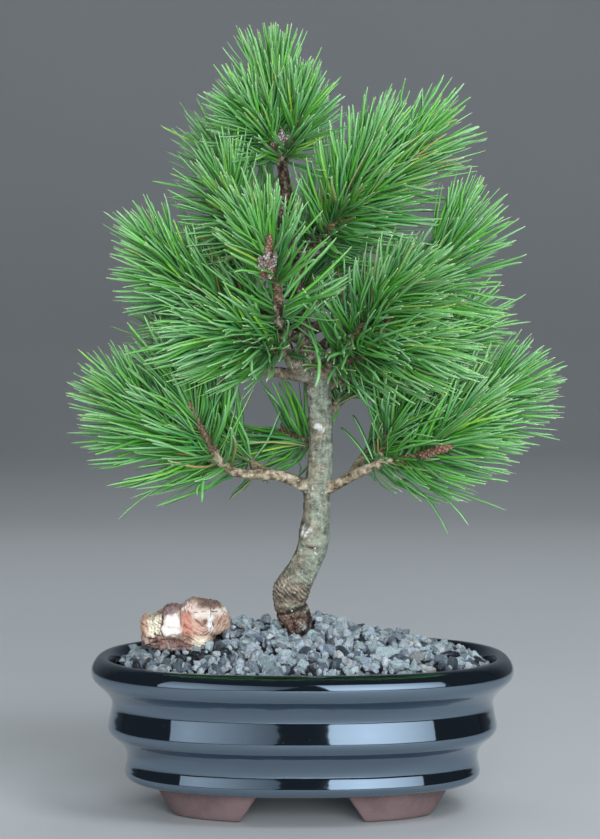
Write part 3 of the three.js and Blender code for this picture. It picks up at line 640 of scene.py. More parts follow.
def shoot_finish():
    """Brown scaly shoots. A bud is redder, and in its upper range grey with white fluff."""
    f = Finish("pine_shoot", Roughness=0.75)
    bud = f.attribute("bud")
    scale = f.attribute("relief")
    # Painted shade: each of these colours darkens to near black where the scale relief is low, between
    # the scales.
    brown = f.ramp(scale, [
        (0.0, (0.02, 0.013, 0.008)), (0.5, (0.12, 0.075, 0.045)), (1.0, (0.33, 0.25, 0.17))])
    red = f.ramp(scale, [
        (0.0, (0.05, 0.02, 0.014)), (0.45, (0.24, 0.095, 0.065)), (1.0, (0.52, 0.33, 0.27))])
    grey = f.ramp(scale, [
        (0.0, (0.035, 0.025, 0.022)), (0.4, (0.21, 0.16, 0.145)), (0.75, (0.52, 0.47, 0.47)),
        (1.0, (0.85, 0.86, 0.86))])
    grain = f.noise(1400, 3)
    cloud = f.noise(520, 3, 0.6)
    fluff = f.fade(bud, 1.2, 1.9) * f.fade(cloud, 0.4, 0.56, 0.35, 1.0)
    redness = f.fade(bud, 0.1, 1.0) * f.fade(bud, 1.9, 1.2)
    kind = f.mix(fluff, f.mix(redness, brown, red), grey)
    colour = f.mix(f.fade(grain, 0.45, 0.75, 0.0, 0.55), kind, (0.08, 0.055, 0.04))
    return f.surface(Base_Color=colour, Normal=f.bump(grain, 0.5, 0.0004))


def bark_finish(colours):
    """Bark: darkened in its cracks with painted shade and pale on its crumbs, grey green in front and
    brown on the left side, also darker there partly as painted shade, darker at the foot, darker still
    with painted shade among the needles and in the crease at the bend, tan on the branches, with white
    lichen."""
    f = Finish("pine_bark", Roughness=0.9)
    bark, lichen = tuple(colours.bark), tuple(colours.lichen)
    grain = f.noise(1250, 5, 0.7)
    cloud = f.noise(300, 4, 0.6)
    # Painted shade: these colours darken towards the low places of the bark's relief, its cracks.
    depth = f.attribute("relief") * 0.5 + grain * 0.75 - 0.13
    brown = f.ramp(depth, [
        (0.22, shaded(bark, 0.12)), (0.38, shaded(bark, 0.55)), (0.52, bark), (0.68, shaded(bark, 1.7)),
        (0.85, shaded(bark, 2.3))])
    green = f.ramp(depth, [
        (0.2, shaded(lichen, 0.13)), (0.36, shaded(lichen, 0.5)), (0.5, lichen),
        (0.66, shaded(lichen, 1.5)), (0.85, shaded(lichen, 2.2))])
    rough = depth * 1.5 - 0.26
    dark = f.ramp(rough, [
        (0.25, (0.01, 0.007, 0.006)), (0.42, (0.045, 0.03, 0.024)), (0.58, (0.13, 0.098, 0.08)),
        (0.85, (0.40, 0.36, 0.31))])
    # Partly painted shade: the side that faces left turns brown and a little darker, besides the
    # graft's collar and noise.
    warm = f.fade(f.attribute("warm") + cloud * 0.9 - 0.45, 0.15, 0.9)
    body = f.mix(warm, green, brown)
    tan = f.ramp(depth, [
        (0.25, (0.035, 0.022, 0.014)), (0.42, (0.17, 0.125, 0.08)), (0.58, (0.36, 0.29, 0.20)),
        (0.8, (0.62, 0.56, 0.44))])
    branched = f.mix(f.attribute("twig"), body, tan)
    rusty = f.ramp(rough, [
        (0.25, (0.012, 0.007, 0.006)), (0.42, (0.065, 0.034, 0.025)), (0.58, (0.18, 0.112, 0.085)),
        (0.85, (0.42, 0.34, 0.29))])
    # The foot's own dark rusty bark, mixed in by the same mark as the painted shade among the needles
    # and in the bend's crease.
    foot_and_shade = f.mix(f.attribute("foot"), branched, f.mix(warm, dark, rusty))
    speck = f.fade(f.spots(520), 0.34, 0.2) * f.fade(f.noise(170, 3), 0.56, 0.66)
    spotted = f.mix(speck * 0.75, foot_and_shade, (0.60, 0.61, 0.57))
    cover = f.attribute("patch") * f.fade(grain, 0.3, 0.5, 0.35, 1.0)
    patch = f.mix(cover, spotted, (0.80, 0.82, 0.82))
    return f.surface(Base_Color=patch, Normal=f.bump(grain, 0.8, 0.0008))


def gravel_finish(colours):
    """Crushed stone: each stone its own grey, some green, some warm, speckled with pale and dark
    grains, and dusty. Stones that lie deep, and the bed under them, are darkened with painted shade."""
    f = Finish("gravel_stone", Roughness=0.9)
    grey = tuple(colours.gravel)
    hue = f.ramp(f.attribute("hue"), [
        (0.0, grey), (0.4, (grey[0] * 0.92, grey[1] * 1.04, grey[2] * 0.96)), (0.6, grey),
        (0.8, (grey[0] * 0.9, grey[1] * 0.97, grey[2] * 1.08)),
        (0.92, (grey[0] * 1.12, grey[1] * 1.02, grey[2] * 0.93)),
        (1.0, (grey[0] * 1.32, grey[1] * 1.1, grey[2] * 0.92))])
    # The tint mark holds each stone's own brightness, lowered as painted shade for deep stones and for
    # the bed.
    bright = f.ramp(f.attribute("tint"), [
        (0.0, (0.03, 0.03, 0.04)), (0.3, (0.33, 0.34, 0.38)), (0.58, (0.92, 0.92, 0.92)),
        (1.0, (1.0, 1.0, 1.0))])
    base = f.mix(1.0, hue, bright, "MULTIPLY")
    light = f.mix(f.fade(f.attribute("tint"), 0.62, 1.0, 0.0, 0.8), base, (0.66, 0.71, 0.75))
    grain = f.noise(1500, 4, 0.75)
    cloud = f.noise(330, 3, 0.6)
    dusty = f.mix(f.fade(cloud, 0.5, 0.72, 0.0, 0.35), light, (0.44, 0.47, 0.46))
    veined = f.mix(f.fade(cloud, 0.44, 0.25, 0.0, 0.55), dusty, shaded(grey, 0.3))
    pitted = f.mix(f.fade(grain, 0.51, 0.64, 0.0, 0.8), veined, shaded(grey, 0.14))
    share = f.fade(grain, 0.45, 0.34, 0.0, 0.55) * f.fade(f.attribute("tint"), 0.2, 0.5)
    colour = f.mix(share, pitted, (0.66, 0.68, 0.66))
    return f.surface(Base_Color=colour, Normal=f.bump(grain, 1.0, 0.0013))


def banded_finish():
    """Banded stone: its patches of colour, fine folded lines along its layers, pale and rusty
    grains, and cracks and hollows darkened with painted shade."""
    f = Finish("banded_stone", Roughness=0.65)
    patch = f.attribute("patch_colour", "Color")
    layer = f.attribute("layer")
    folded = f.attribute("folded")
    fold = f.noise(260, 4, 0.6)
    # The lines follow the layers: noise looked up by how far across the layers a point is.
    along = f.node("ShaderNodeCombineXYZ", inputs={
        "X": layer + fold * 1.6, "Y": f.attribute("rise") * 2.0, "Z": f.attribute("across") * 2.0})
    lines = f.noise(1.25, 3, 0.6, place=along)
    rust = f.mix(f.fade(lines, 0.52, 0.62) * folded * 0.8, patch, (0.13, 0.055, 0.035))
    pale = f.mix(f.fade(lines, 0.46, 0.36) * folded * 0.6, rust, (0.46, 0.40, 0.33))
    grain = f.noise(1000, 5, 0.7)
    worn = f.mix(f.fade(grain, 0.54, 0.7, 0.0, 0.5), pale, (0.12, 0.07, 0.055))
    dusty = f.mix(f.fade(grain, 0.46, 0.34, 0.0, 0.3), worn, (0.50, 0.46, 0.42))
    # Painted shade: cracks and low places of the relief turn near black.
    crack = f.fade(f.attribute("relief"), 0.4, 0.1) * f.fade(fold, 0.3, 0.55, 0.45, 0.95)
    hollow_shade = f.mix(crack, dusty, (0.07, 0.04, 0.03))
    return f.surface(
        Base_Color=hollow_shade, Roughness=f.fade(grain, 0.3, 0.7, 0.5, 0.85),
        Normal=f.bump(grain * 0.6 + lines * 0.4 * folded, 0.8, 0.001))


def glaze_finish(colours):
    """Black mirror glaze that shines steel blue: a faint ripple from the kiln, a few pin holes,
    and dust that dulls it."""
    f = Finish("pot_glaze", Metallic=1.0, Coat_Weight=0.2, Coat_Roughness=0.03)
    ripple = f.noise(26, 2)
    dust = f.noise(210, 4, 0.7)
    pin = f.fade(f.spots(330), 0.06, 0.03)
    glaze = tuple(colours.glaze)
    colour = f.mix(f.fade(dust, 0.6, 0.85, 0.0, 0.5), glaze, shaded(glaze, 1.25))
    height = ripple * 1.0 - pin * 0.04
    return f.surface(
        Base_Color=colour, Roughness=f.fade(dust, 0.5, 0.85, 0.045, 0.12) + pin * 0.25,
        Normal=f.bump(height, 0.12, 0.003))


def clay_finish(colours):
    """Bare fired clay: purplish brown with grog specks, darker and shinier where glaze ran on."""
    f = Finish("pot_clay", Roughness=0.8)
    clay = tuple(colours.clay)
    grain = f.noise(850, 5, 0.7)
    cloud = f.noise(60, 3)
    base = f.mix(f.fade(cloud, 0.35, 0.65), shaded(clay, 0.85), shaded(clay, 1.2))
    speck = f.fade(f.spots(620), 0.16, 0.08)
    grog = f.mix(speck * 0.7, base, shaded(clay, 1.9))
    dark = f.mix(f.fade(grain, 0.55, 0.75, 0.0, 0.6), grog, shaded(clay, 0.45))
    run = f.attribute("glaze")
    colour = f.mix(run, dark, (0.012, 0.015, 0.02))
    return f.surface(
        Base_Color=colour, Roughness=f.fade(run, 0.2, 0.8, 0.8, 0.1),
        Normal=f.bump(grain, 0.35, 0.0004))


def soil_finish():
    """Potting mix: dark bark crumbs and pale grit."""
    f = Finish("potting_soil", Roughness=0.95)
    crumb = f.noise(350, 6, 0.75)
    grit = f.fade(f.spots(420), 0.2, 0.1)
    dark = f.ramp(crumb, [
        (0.25, (0.012, 0.008, 0.005)), (0.5, (0.05, 0.032, 0.02)), (0.75, (0.13, 0.09, 0.055))])
    return f.surface(
        Base_Color=f.mix(grit * 0.6, dark, (0.32, 0.29, 0.24)), Normal=f.bump(crumb, 0.9, 0.002))


def mesh_plastic_finish():
    """Black moulded plastic mesh, dulled by fine soil."""
    f = Finish("mesh_plastic", Roughness=0.5)
    dirt = f.noise(500, 4, 0.7)
    colour = f.mix(f.fade(dirt, 0.5, 0.75), (0.018, 0.018, 0.02), (0.07, 0.055, 0.04))
    return f.surface(
        Base_Color=colour, Roughness=f.fade(dirt, 0.4, 0.7, 0.4, 0.85),
        Normal=f.bump(dirt, 0.2, 0.0003))


def floor_finish(colours):
    f = Finish("pale_floor", Roughness=0.7)
    cloud = f.noise(3.0, 3)
    base = tuple(colours.floor)
    return f.surface(Base_Color=f.mix(f.fade(cloud, 0.3, 0.7), shaded(base, 0.97), base))


# Needles, shoots and buds

# Needles also stand on this much of a limb, next to its shoot, and on more of some limbs.
OLD_WOOD = 15
MORE_OLD_WOOD = {
    "front_centre": 22, "right_centre": 26, "upper_right": 26, "left_mid": 26, "right_far": 30,
    "upper_left": 24, "upper_middle": 22,
}
# A shoot's bend lies this share of its length ahead of its foot, in line with its limb.
SHOOT_BEND = 0.4
# Points along a limb's line, and steps along the line that a shoot's needles stand on.
LIMB_SAMPLES = 200
CORE_STEPS = 200
# How needles crowd towards a shoot's tip: below 1, the power of their rank that sets their place.
CROWDING = 0.72
# Lean of a needle from its shoot, in degrees: at the shoot's tip, and how much more at its foot.
TIP_LEAN = 8
MORE_FOOT_LEAN = 68
# Tufts round a shoot, how strongly needles are drawn to them, and how fast the tufts wind.
TUFTS = 7
TUFT_PULL = 0.11
TUFT_WINDING = 23
# Least and most, evenly spread: half the angle between the needles of a pair, in radians, and a
# needle's length as a share of its shoot's.
PAIR_PARTING = (0.015, 0.075)
NEEDLE_LENGTHS = (0.9, 1.05)
# Under shoots that lie low, needles turn up to the light: a needle sinks freely by the first share
# of its length, and from there on by the second share of what it would.
FREE_DROP = 0.22
HELD_DROP = 0.45
# Open places, seen from the front: x, z, half width and half height, and the depth in front of
# which no needle crosses them. The first two lie beside the trunk and are open all through, and
# the others show the wood and buds behind them.
OPEN_PLACES = [
    (25, 190, 9, 14, 99), (-21, 197, 9, 8, 99), (-17, 277, 3.6, 9, -54), (-11.5, 251, 2, 10, -31),
    (-40, 177, 3.5, 5, -17), (-47, 188, 3.5, 6, -19), (-54, 199, 3, 5, -22), (63, 178, 9, 3, -24),
    (-9.5, 336, 3.6, 6, -3), (-8, 315, 2.4, 10, -1),
]
# Needles that are old and golden, as a share, on shoots with many of them.
GOLDEN = {"upper_right": 0.07, "upper_middle": 0.06, "upper_left": 0.04, "right_centre": 0.025}
GOLDEN_ELSEWHERE = 0.006
# Needles end this far inside the box of the solids.
BOX_MARGIN = 1
# Stations of a needle, as shares of its length, and its thickness there: a neck at the sheath,
# then an even blade with a blunt tip.
NEEDLE_SPOTS = np.array([0.0, 0.1, 0.33, 0.58, 0.81, 0.95, 1.0])
NEEDLE_TAPER = np.array([0.7, 0.92, 1.0, 1.0, 0.9, 0.6, 0.18])
# A needle is half round: two corners make its flat side and three its back.
NEEDLE_SECTION = np.array([(1.0, -0.26), (0.62, 0.36), (0.0, 0.58), (-0.62, 0.36), (-1.0, -0.26)])
NEEDLE_FLAT = [1.0, 0.0, 0.0, 0.0, 1.0]

# Single needles that hang or stand out of the sprays: root, middle and tip. Those of the upper
# right spray stand in a fan beside the trunk.
STRAYS = {
    "upper_right": [
        ((15 + 0.8 * k, -1 - k % 3, 289 + 0.7 * k), (8 + 1.1 * k, -3 - 2 * (k % 4), 312),
         (5 + 1.35 * k, -5 - 3 * (k % 4), 331 + 3 * (k % 3))) for k in range(16)
    ],
    "low_left_side": [
        ((-62, -16, 166), (-80, -22, 157), (-90, -24, 146)),
        ((-48, -22, 168), (-49, -27, 163), (-49, -30, 155)),
        ((-47, -20, 165), (-53, -28, 163), (-51, -33, 159)),
    ],
    "low_right_front": [
        ((50, -16, 165), (63, -28, 158), (70.5, -34, 140)),
        ((54, -17, 165), (71, -30, 160), (80.5, -36, 144)),
        ((58, -17, 164), (80, -28, 159), (99, -30, 151)),
        ((19, -8, 190), (27, -16, 184), (33, -20, 173)),
        ((25, -8, 196), (30, -14, 188), (34.5, -18, 175)),
    ],
    "front_centre": [
        ((-7, -22, 236), (-16, -44, 226), (-6, -52, 232)),
        ((2, -24, 240), (12, -46, 224), (6, -50, 212)),
        ((-14, -30, 236), (-30, -52, 226), (-22, -58, 216)),
    ],
}

# Buds and stubs: foot, tip, radius, and colour from 0 for dark over 1 for red to 2 for grey fluff.
BUDS = [
    ((-16.8, -53, 266.5), (-17.0, -57, 278.5), 2.1, 1.75),
    ((-13.9, -54, 270), (-12.9, -57, 277), 1.4, 2.0),
    ((-19.4, -53, 268), (-20.4, -56, 274.5), 1.5, 1.8),
    ((-15.4, -55, 264), (-15.6, -58, 272), 1.5, 1.6),
    ((-18.4, -54, 263), (-19.2, -57, 269), 1.3, 1.2),
    ((-16.2, -55, 275), (-15.6, -57.5, 286), 1.8, 0.55),
    ((-51.5, -16, 190), (-53.5, -19, 199), 2.6, 0.1),
    ((66, -26, 180), (73, -30, 183.5), 2.5, 0.75),
    ((58, -23, 177), (67, -27, 180), 2.2, 0.3),
    ((36, -24, 231), (44, -33, 246), 2.4, 0.3),
    ((-12, -1, 327), (-10, -5, 337), 2.2, 1.8),
    ((-9, -1, 329), (-6, -5, 334), 1.7, 2.0),
    ((-13.5, -2, 326), (-15.5, -5, 331), 1.4, 1.4),
    ((-9, -1, 290), (-10, -5, 299), 2.2, 1.4),
]

# The last stretch of a shoot is its bud: where it starts and its length, as shares of the shoot.
BUD_START = 0.85
BUD_STRETCH = 0.15
# Scales in one row round a shoot or bud, and the height of a row.
SCALES_ROUND = 6
SCALE_ROW = 1.45


def even_line(line, samples):
    """The same line with its points evenly spaced along it."""
    steps = np.linalg.norm(np.diff(line, axis=0), axis=1)
    way = np.concatenate([[0], np.cumsum(steps)])
    spots = np.linspace(0, way[-1], samples)
    return np.stack([np.interp(spots, way, column) for column in line.T], axis=-1)


def shoot_line(name, samples):
    """Middle line of a shoot: it leaves its limb's end in line with the limb and bends to its tip,
    along the curve that three points control."""
    limb, tip = SHOOTS[name][:2]
    line, _ = smooth_line(limb or TRUNK, LIMB_SAMPLES)
    heading = unit(line[-1] - line[-4])
    start = line[-1]
    tip = np.array(tip, float)
    bend = start + heading * np.linalg.norm(tip - start) * SHOOT_BEND
    return quadratic(start, bend, tip, np.linspace(0, 1, samples))


def quadratic(start, bend, end, t):
    """The curve that three points control, at the shares t of its length."""
    t = np.asarray(t)[:, None]
    return (1 - t) ** 2 * start + 2 * t * (1 - t) * bend + t * t * end


def needled_line(name, samples):
    """Where a shoot's needles stand: on the last stretch of its limb, then on the shoot."""
    limb = SHOOTS[name][0]
    line, _ = smooth_line(limb or TRUNK, 2 * LIMB_SAMPLES)
    left = np.linalg.norm(np.diff(line, axis=0), axis=1)[::-1].cumsum()[::-1]
    old = line[:-1][left < MORE_OLD_WOOD.get(name, OLD_WOOD)]
    return even_line(np.concatenate([old, shoot_line(name, LIMB_SAMPLES)]), samples)


def kept_in_box(root, offset):
    """Middle lines of needles, each shortened where it would pass the box of the solids."""
    low, high = (np.array(corner) / MM - POT_PLACE / MM for corner in CAD_BOX)
    low, high = low + BOX_MARGIN, high - BOX_MARGIN
    room = np.where(offset > 0, high - root[:, None], root[:, None] - low)
    fit = np.clip(np.maximum(room, 0) / np.maximum(np.abs(offset), 1e-6), 0, 1).min((1, 2))
    return root[:, None] + offset * fit[:, None, None]


def clear_of_open_places(middles):
    """Which needles cross no open place. A needle is looked at where it seems to be from the
    front, because things that are nearer seem larger."""
    clear = np.full(len(middles), True)
    nearer = VIEW_DISTANCE / (VIEW_DISTANCE + middles[..., 1])
    seen_x = middles[..., 0] * nearer
    seen_z = VIEW_HEIGHT + (middles[..., 2] - VIEW_HEIGHT) * nearer
    for mid_x, mid_z, half_x, half_z, depth in OPEN_PLACES:
        away = ((seen_x - mid_x) / half_x) ** 2 + ((seen_z - mid_z) / half_z) ** 2
        clear &= ((away > 1) | (middles[..., 1] > depth)).all(1)
    return clear


def needle_rods(name, seed, sizes):
    """Needles of one shoot. Pairs of them climb the shoot by the golden angle, drawn together in
    tufts, and stand closer towards its tip. The lean from the shoot falls from its foot to its
    tip. A needle's middle line is its root, plus its heading times the way along it, plus a curl
    towards the shoot's heading and a droop that grow with the square of that way, plus one weak
    wave. The lower part of a deep droop is mostly held up. Needles that cross an open place are
    left out, and the shoot's single needles are added."""
    _, _, length, droop, pairs = SHOOTS[name]
    pairs = max(4, int(pairs * sizes.needle_count))
    random = np.random.default_rng(seed)
    rank = (np.arange(pairs) + 0.5) / pairs
    share = rank ** CROWDING
    core = needled_line(name, CORE_STEPS + 1)
    at = (share * CORE_STEPS).astype(int)
    root = core[at]
    ahead = unit(core[np.minimum(at + 5, CORE_STEPS)] - core[np.maximum(at - 5, 0)])
    lean = TIP_LEAN + MORE_FOOT_LEAN * (1 - share) ** 0.85
    lean = np.radians(lean) + random.normal(0, 0.12, pairs)
    turn = np.arange(pairs) * GOLDEN_ANGLE + random.normal(0, 0.16, pairs)
    turn = turn + TUFT_PULL * np.sin(TUFTS * turn + TUFT_WINDING * share)
    up = np.array([0.0, 0.0, 1.0])
    side = unit(across(ahead, up + [0.01, 0.02, 0]))
    over = across(side, ahead)
    outward = side * np.cos(turn)[:, None] + over * np.sin(turn)[:, None]
    heading = unit(ahead * np.cos(lean)[:, None] + outward * np.sin(lean)[:, None])

    # Each pair becomes two needles that part by a small angle from one sheath.
    twist = random.uniform(0, TURN, (pairs, 1))
    first = unit(across(heading, up + [0.01, 0.02, 0]))
    apart = first * np.cos(twist) + across(heading, first) * np.sin(twist)
    part = random.uniform(*PAIR_PARTING, (pairs, 1))
    heading = unit(np.concatenate([heading + apart * part, heading - apart * part]))
    apart = np.concatenate([apart, -apart])
    hints = unit(across(apart, heading))
    root, ahead, lean, share = (np.concatenate([a, a]) for a in (root, ahead, lean, share))
    root = root + apart * 0.3
    count = 2 * pairs
    reach = length * random.uniform(*NEEDLE_LENGTHS, count) * (0.9 + 0.1 * share)
    s = NEEDLE_SPOTS[None, :, None]
    curl = 0.26 * np.sin(lean) + random.normal(0, 0.07, count)
    sway = random.normal(0, 0.06, (count, 1, 3))
    fall = droop * random.uniform(0.4, 1.6, count) + 0.02 + 0.10 * (1 - share) ** 2
    wave = random.normal(0, 0.016 + 0.08 * droop, (count, 1, 3)) * np.sin(TURN * 0.8 * s)
    offset = reach[:, None, None] * (
        heading[:, None] * s + ahead[:, None] * curl[:, None, None] * s ** 2 + sway * s ** 2
        - up * fall[:, None, None] * s ** 2 + wave)
    sunk = np.maximum(-offset[..., 2] - reach[:, None] * FREE_DROP, 0)
    offset[..., 2] += sunk * (1 - HELD_DROP)
    middles = kept_in_box(root, offset)
    clear = clear_of_open_places(middles)

    tint = np.clip(random.normal(0.53, 0.2, count) + 0.16 * (share - 0.5), 0, 0.93)
    old = random.random(count) < GOLDEN.get(name, GOLDEN_ELSEWHERE) + 0.05 * (share < 0.3)
    tint = np.where(old, 1.0, tint)
    cool = random.uniform(0, 1, count)
    middles, hints, tint, cool = (a[clear] for a in (middles, hints, tint, cool))

    lone = [quadratic(*np.array(curve, float), NEEDLE_SPOTS) for curve in STRAYS.get(name, [])]
    if lone:
        middles = np.concatenate([middles, lone])
        lone_ahead = np.array([line[-1] - line[0] for line in lone])
        hints = np.concatenate([hints, unit(across(lone_ahead, up))])
        tint = np.concatenate([tint, random.uniform(0.5, 0.8, len(lone))])
        cool = np.concatenate([cool, random.uniform(0, 1, len(lone))])
    width = sizes.needle_width / MM / 2 * random.uniform(0.85, 1.12, len(middles))
    return middles, width[:, None] * NEEDLE_TAPER[None, :], hints, tint, cool


def scale_relief(middles, s, corners):
    """Scales like those of a pine cone: rows of pointed tongues, each row half a scale round from
    the last, and each row's height waved a little so that no ring shows."""
    length = np.linalg.norm(middles[:, -1] - middles[:, 0], axis=1)
    angle = np.arange(corners)[None, None, :] * TURN / corners
    wander = 0.3 * np.sin(2 * angle + 5 * s[None, :, None] + length[:, None, None])
    rows = s[None, :, None] * length[:, None, None] / SCALE_ROW + wander
    row = np.floor(rows)
    beside = np.abs((angle * SCALES_ROUND / TURN + 0.5 * row) % 1.0 - 0.5) * 2
    up = rows - row
    return np.clip(1 - up, 0, 1) * (1 - beside ** 2) + 0.5 * up * beside


class BONSAI_OT_needles(bpy.types.Operator):
    """Build the sprays of needles, one piece for each shoot"""
    bl_idname = "bonsai.needles"
    bl_label = "Needles"

    def execute(self, context):
        sizes = settings().tree
        finish = needle_finish(settings().colours)
        corners = len(NEEDLE_SECTION)
        stations = len(NEEDLE_SPOTS)
        for number, name in enumerate(SHOOTS):
            middles, radii, hints, tint, cool = needle_rods(name, 40 + number, sizes)
            points, faces = rods(middles, radii, NEEDLE_SECTION, hints)
            count = len(middles)
            marks = {
                "tint": per_rod(tint, stations, corners),
                "cool": per_rod(cool, stations, corners),
                "along": per_station(np.tile(NEEDLE_SPOTS, (count, 1)), corners),
                "flat": np.tile(NEEDLE_FLAT * stations + [0.0, 0.0], count),
            }
            add_piece(f"needles_{name}", points, faces, finish,
                      [f"spray_{name}"], marks=marks)
        return {"FINISHED"}


class BONSAI_OT_shoots(bpy.types.Operator):
    """Build the scaly shoots that the needles stand on, with their buds"""
    bl_idname = "bonsai.shoots"
    bl_label = "Shoots and Buds"

    def execute(self, context):
        radius = settings().tree.shoot_radius / MM
        stations, corners = 48, 22
        s = np.linspace(0, 1, stations)
        bud_share = np.clip((s - BUD_START) / BUD_STRETCH, 0, 1)
        line = np.stack([shoot_line(name, stations) for name in SHOOTS])
        plain = radius * (1.08 - 0.4 * s)
        round_bud = radius * 1.1 * np.sqrt(1 - np.clip(bud_share * 1.3 - 0.3, 0, 1) ** 2)
        size = np.where(bud_share > 0, round_bud, plain)
        # A bud of the table swells from its foot, then narrows to its tip.
        extra = np.stack([np.linspace(foot, tip, stations) for foot, tip, _, _ in BUDS])
        swell = np.sqrt(np.clip(1 - (1.45 * s - 0.45) ** 2, 0.01, 1))
        girth = np.array([bud_radius for _, _, bud_radius, _ in BUDS])
        middles = np.concatenate([line, extra])
        sizes = np.concatenate([np.tile(size, (len(line), 1)), girth[:, None] * swell[None, :]])
        kind = np.concatenate([
            np.tile(bud_share > 0, (len(line), 1)) * 0.4,
            np.tile([[colour] for *_, colour in BUDS], (1, stations))])

        relief = scale_relief(middles, s, corners)
        hints = np.tile([[0.3, 0.9, 0.2]], (len(middles), 1))
        points, faces = rods(middles, sizes, circle(corners), hints)
        count = len(middles)
        shaped = points.reshape(count, -1, 3)
        rings = shaped[:, :-2].reshape(count, stations, corners, 3)
        out = rings - middles[:, :, None, :]
        crumbs = lattice_noise(rings.reshape(-1, 3), 1.1, 4).reshape(relief.shape)
        rings = rings + out * (0.42 * relief - 0.16 + 0.2 * crumbs)[..., None]
        shaped[:, :-2] = rings.reshape(count, -1, 3)
        relief = np.clip(relief + 0.25 * crumbs, 0, 1)
        relief_mark = np.concatenate([relief.reshape(count, -1), np.ones((count, 2))], axis=1)
        add_piece("shoots_and_buds", shaped.reshape(-1, 3), faces, shoot_finish(),
                  [f"spray_{name}" for name in SHOOTS],
                  marks={"relief": relief_mark, "bud": per_station(kind, corners)})
        return {"FINISHED"}


# Wood

# The foot of the trunk, below the graft, ends about here. Just over it are skin folds, with their
# height, spread and pitch.
BARK_FOOT = 102
FOLDS = (109, 7)
FOLD_PITCH = 2.3
# The graft's crease: a plane through the trunk with its height, its slopes along X and Y and its
# half width.
GRAFT_CREASE = (101.2, 0.34, 0.10, 0.75)
# The bark round the graft is browner and darker: the height of its middle and its spread.
COLLAR = (106, 9)
# Wood among the needles is shaded. The shade starts at this height and is full this much higher,
# and to the sides it ends this far from the middle and is full this much nearer to it.
SHADE_RISE = (216, 12)
SHADE_SIDES = (26, 8)
# A crease lies in front under the largest patch, at the trunk's bend, pressed in and darkened with
# painted shade: its height, its slope along X, its half width, and the middle and half length along X.
BEND_CREASE = (131.5, 0.22, 0.75, 3.5, 4.5)
# Pale lichen patches on the front of the trunk: place, radius and strength.
PATCHES = [
    ((0.2, -6.5, 139), 3.2, 1.0), ((1.8, -7.4, 135.5), 1.8, 0.9), ((3.6, -7, 139), 1.6, 0.5),
    ((7.7, -5.6, 190.3), 2.4, 0.65), ((10.6, -4.8, 189), 1.4, 0.5),
    ((3.2, -4.6, 178.5), 1.1, 0.9), ((4.6, -6.4, 157), 1.5, 0.35),
]


def bark_height(points, along, angle, slim):
    """Height of the bark from about -1 to 1: lumps, crumbs and cross wrinkles over low plates that
    wind up the trunk. Slim wood has more of the cross ridges, like old needle scars."""
    wrap = np.stack([np.cos(angle) * 9, np.sin(angle) * 9, along * 0.5], axis=-1)
    plates = 1 - np.abs(lattice_noise(wrap, 2.7, 3)) * 2.4
    ring = np.stack([np.cos(angle) * 7, np.sin(angle) * 7, along], axis=-1)
    rings = lattice_noise(ring, (4.5, 4.5, 1.5), 8)
    lumps = lattice_noise(points, 4.6, 12)
    crumbs = lattice_noise(points, 1.7, 21)
    fine = lattice_noise(points, 0.95, 27)
    wrinkles = lattice_noise(ring, (3.4, 3.4, 0.85), 9)
    thick = 0.2 * plates + 0.16 * rings + 0.36 * wrinkles + 0.28 * lumps + 0.36 * crumbs + 0.28 * fine
    thin = 0.5 * rings + 0.35 * lumps + 0.5 * crumbs + 0.25 * fine
    return thick * (1 - slim) + thin * slim


# Points of a limb's line for each of its stations, corners round it, how far from its line a
# point can lie, and how far apart two limbs' stretches of the bark's noise are.
LIMB_STEPS = 14
LIMB_CORNERS = 20
LIMB_REACH = 14
NOISE_GAP = 31


def wood_frame(place, lines):
    """For each point, from the nearest of the limbs' lines: how far along it lies, its angle round
    the line, and how slim the wood is there, from 0 for the trunk to 1 for a twig."""
    best = np.full(len(place), np.inf)
    along, angle, slim = (np.zeros(len(place)) for _ in range(3))
    reach = 0.0
    for line, radius in lines:
        step = np.concatenate([[0], np.cumsum(np.linalg.norm(np.diff(line, axis=0), axis=1))])
        low, high = line.min(0) - LIMB_REACH, line.max(0) + LIMB_REACH
        near = np.flatnonzero(((place > low) & (place < high)).all(1))
        away = np.linalg.norm(place[near, None, :] - line[None], axis=-1) - radius[None]
        pick = away.argmin(1)
        gap = away[np.arange(len(near)), pick]
        better = gap < best[near]
        chosen, pick = near[better], pick[better]
        best[chosen] = gap[better]
        along[chosen] = reach + step[pick]
        ahead = unit(np.gradient(line, axis=0))[pick]
        side = unit(across(ahead, np.array([0.2, 1.0, 0.1])))
        out = place[chosen] - line[pick]
        angle[chosen] = np.arctan2((out * across(ahead, side)).sum(-1), (out * side).sum(-1))
        slim[chosen] = np.clip((5.0 - radius[pick]) / 2.2, 0, 1)
        # The next limb's bark goes on from another place in the noise.
        reach += step[-1] + NOISE_GAP
    return along, angle, slim


def graft_marks(place, slim):
    """Marks of the graft: how much a point belongs to the knobbly foot below it, and the depth of
    its crease and of the skin folds over it."""
    x, y, z = place.T
    foot = 1 / (1 + np.exp((z - BARK_FOOT - 0.25 * x) / 1.4))
    crease_height, slope_x, slope_y, width = GRAFT_CREASE
    from_crease = z - crease_height - slope_x * x - slope_y * y
    crease = np.exp(-(from_crease / width) ** 2) * (slim < 0.5)
    fold_height, fold_width = FOLDS
    folds = np.sin((z + 0.9 * x + 1.1 * lattice_noise(place, 3.0, 18)) * TURN / FOLD_PITCH)
    folds = folds * np.exp(-((z - fold_height) / fold_width) ** 2) * (slim < 0.5)
    return foot, crease, folds


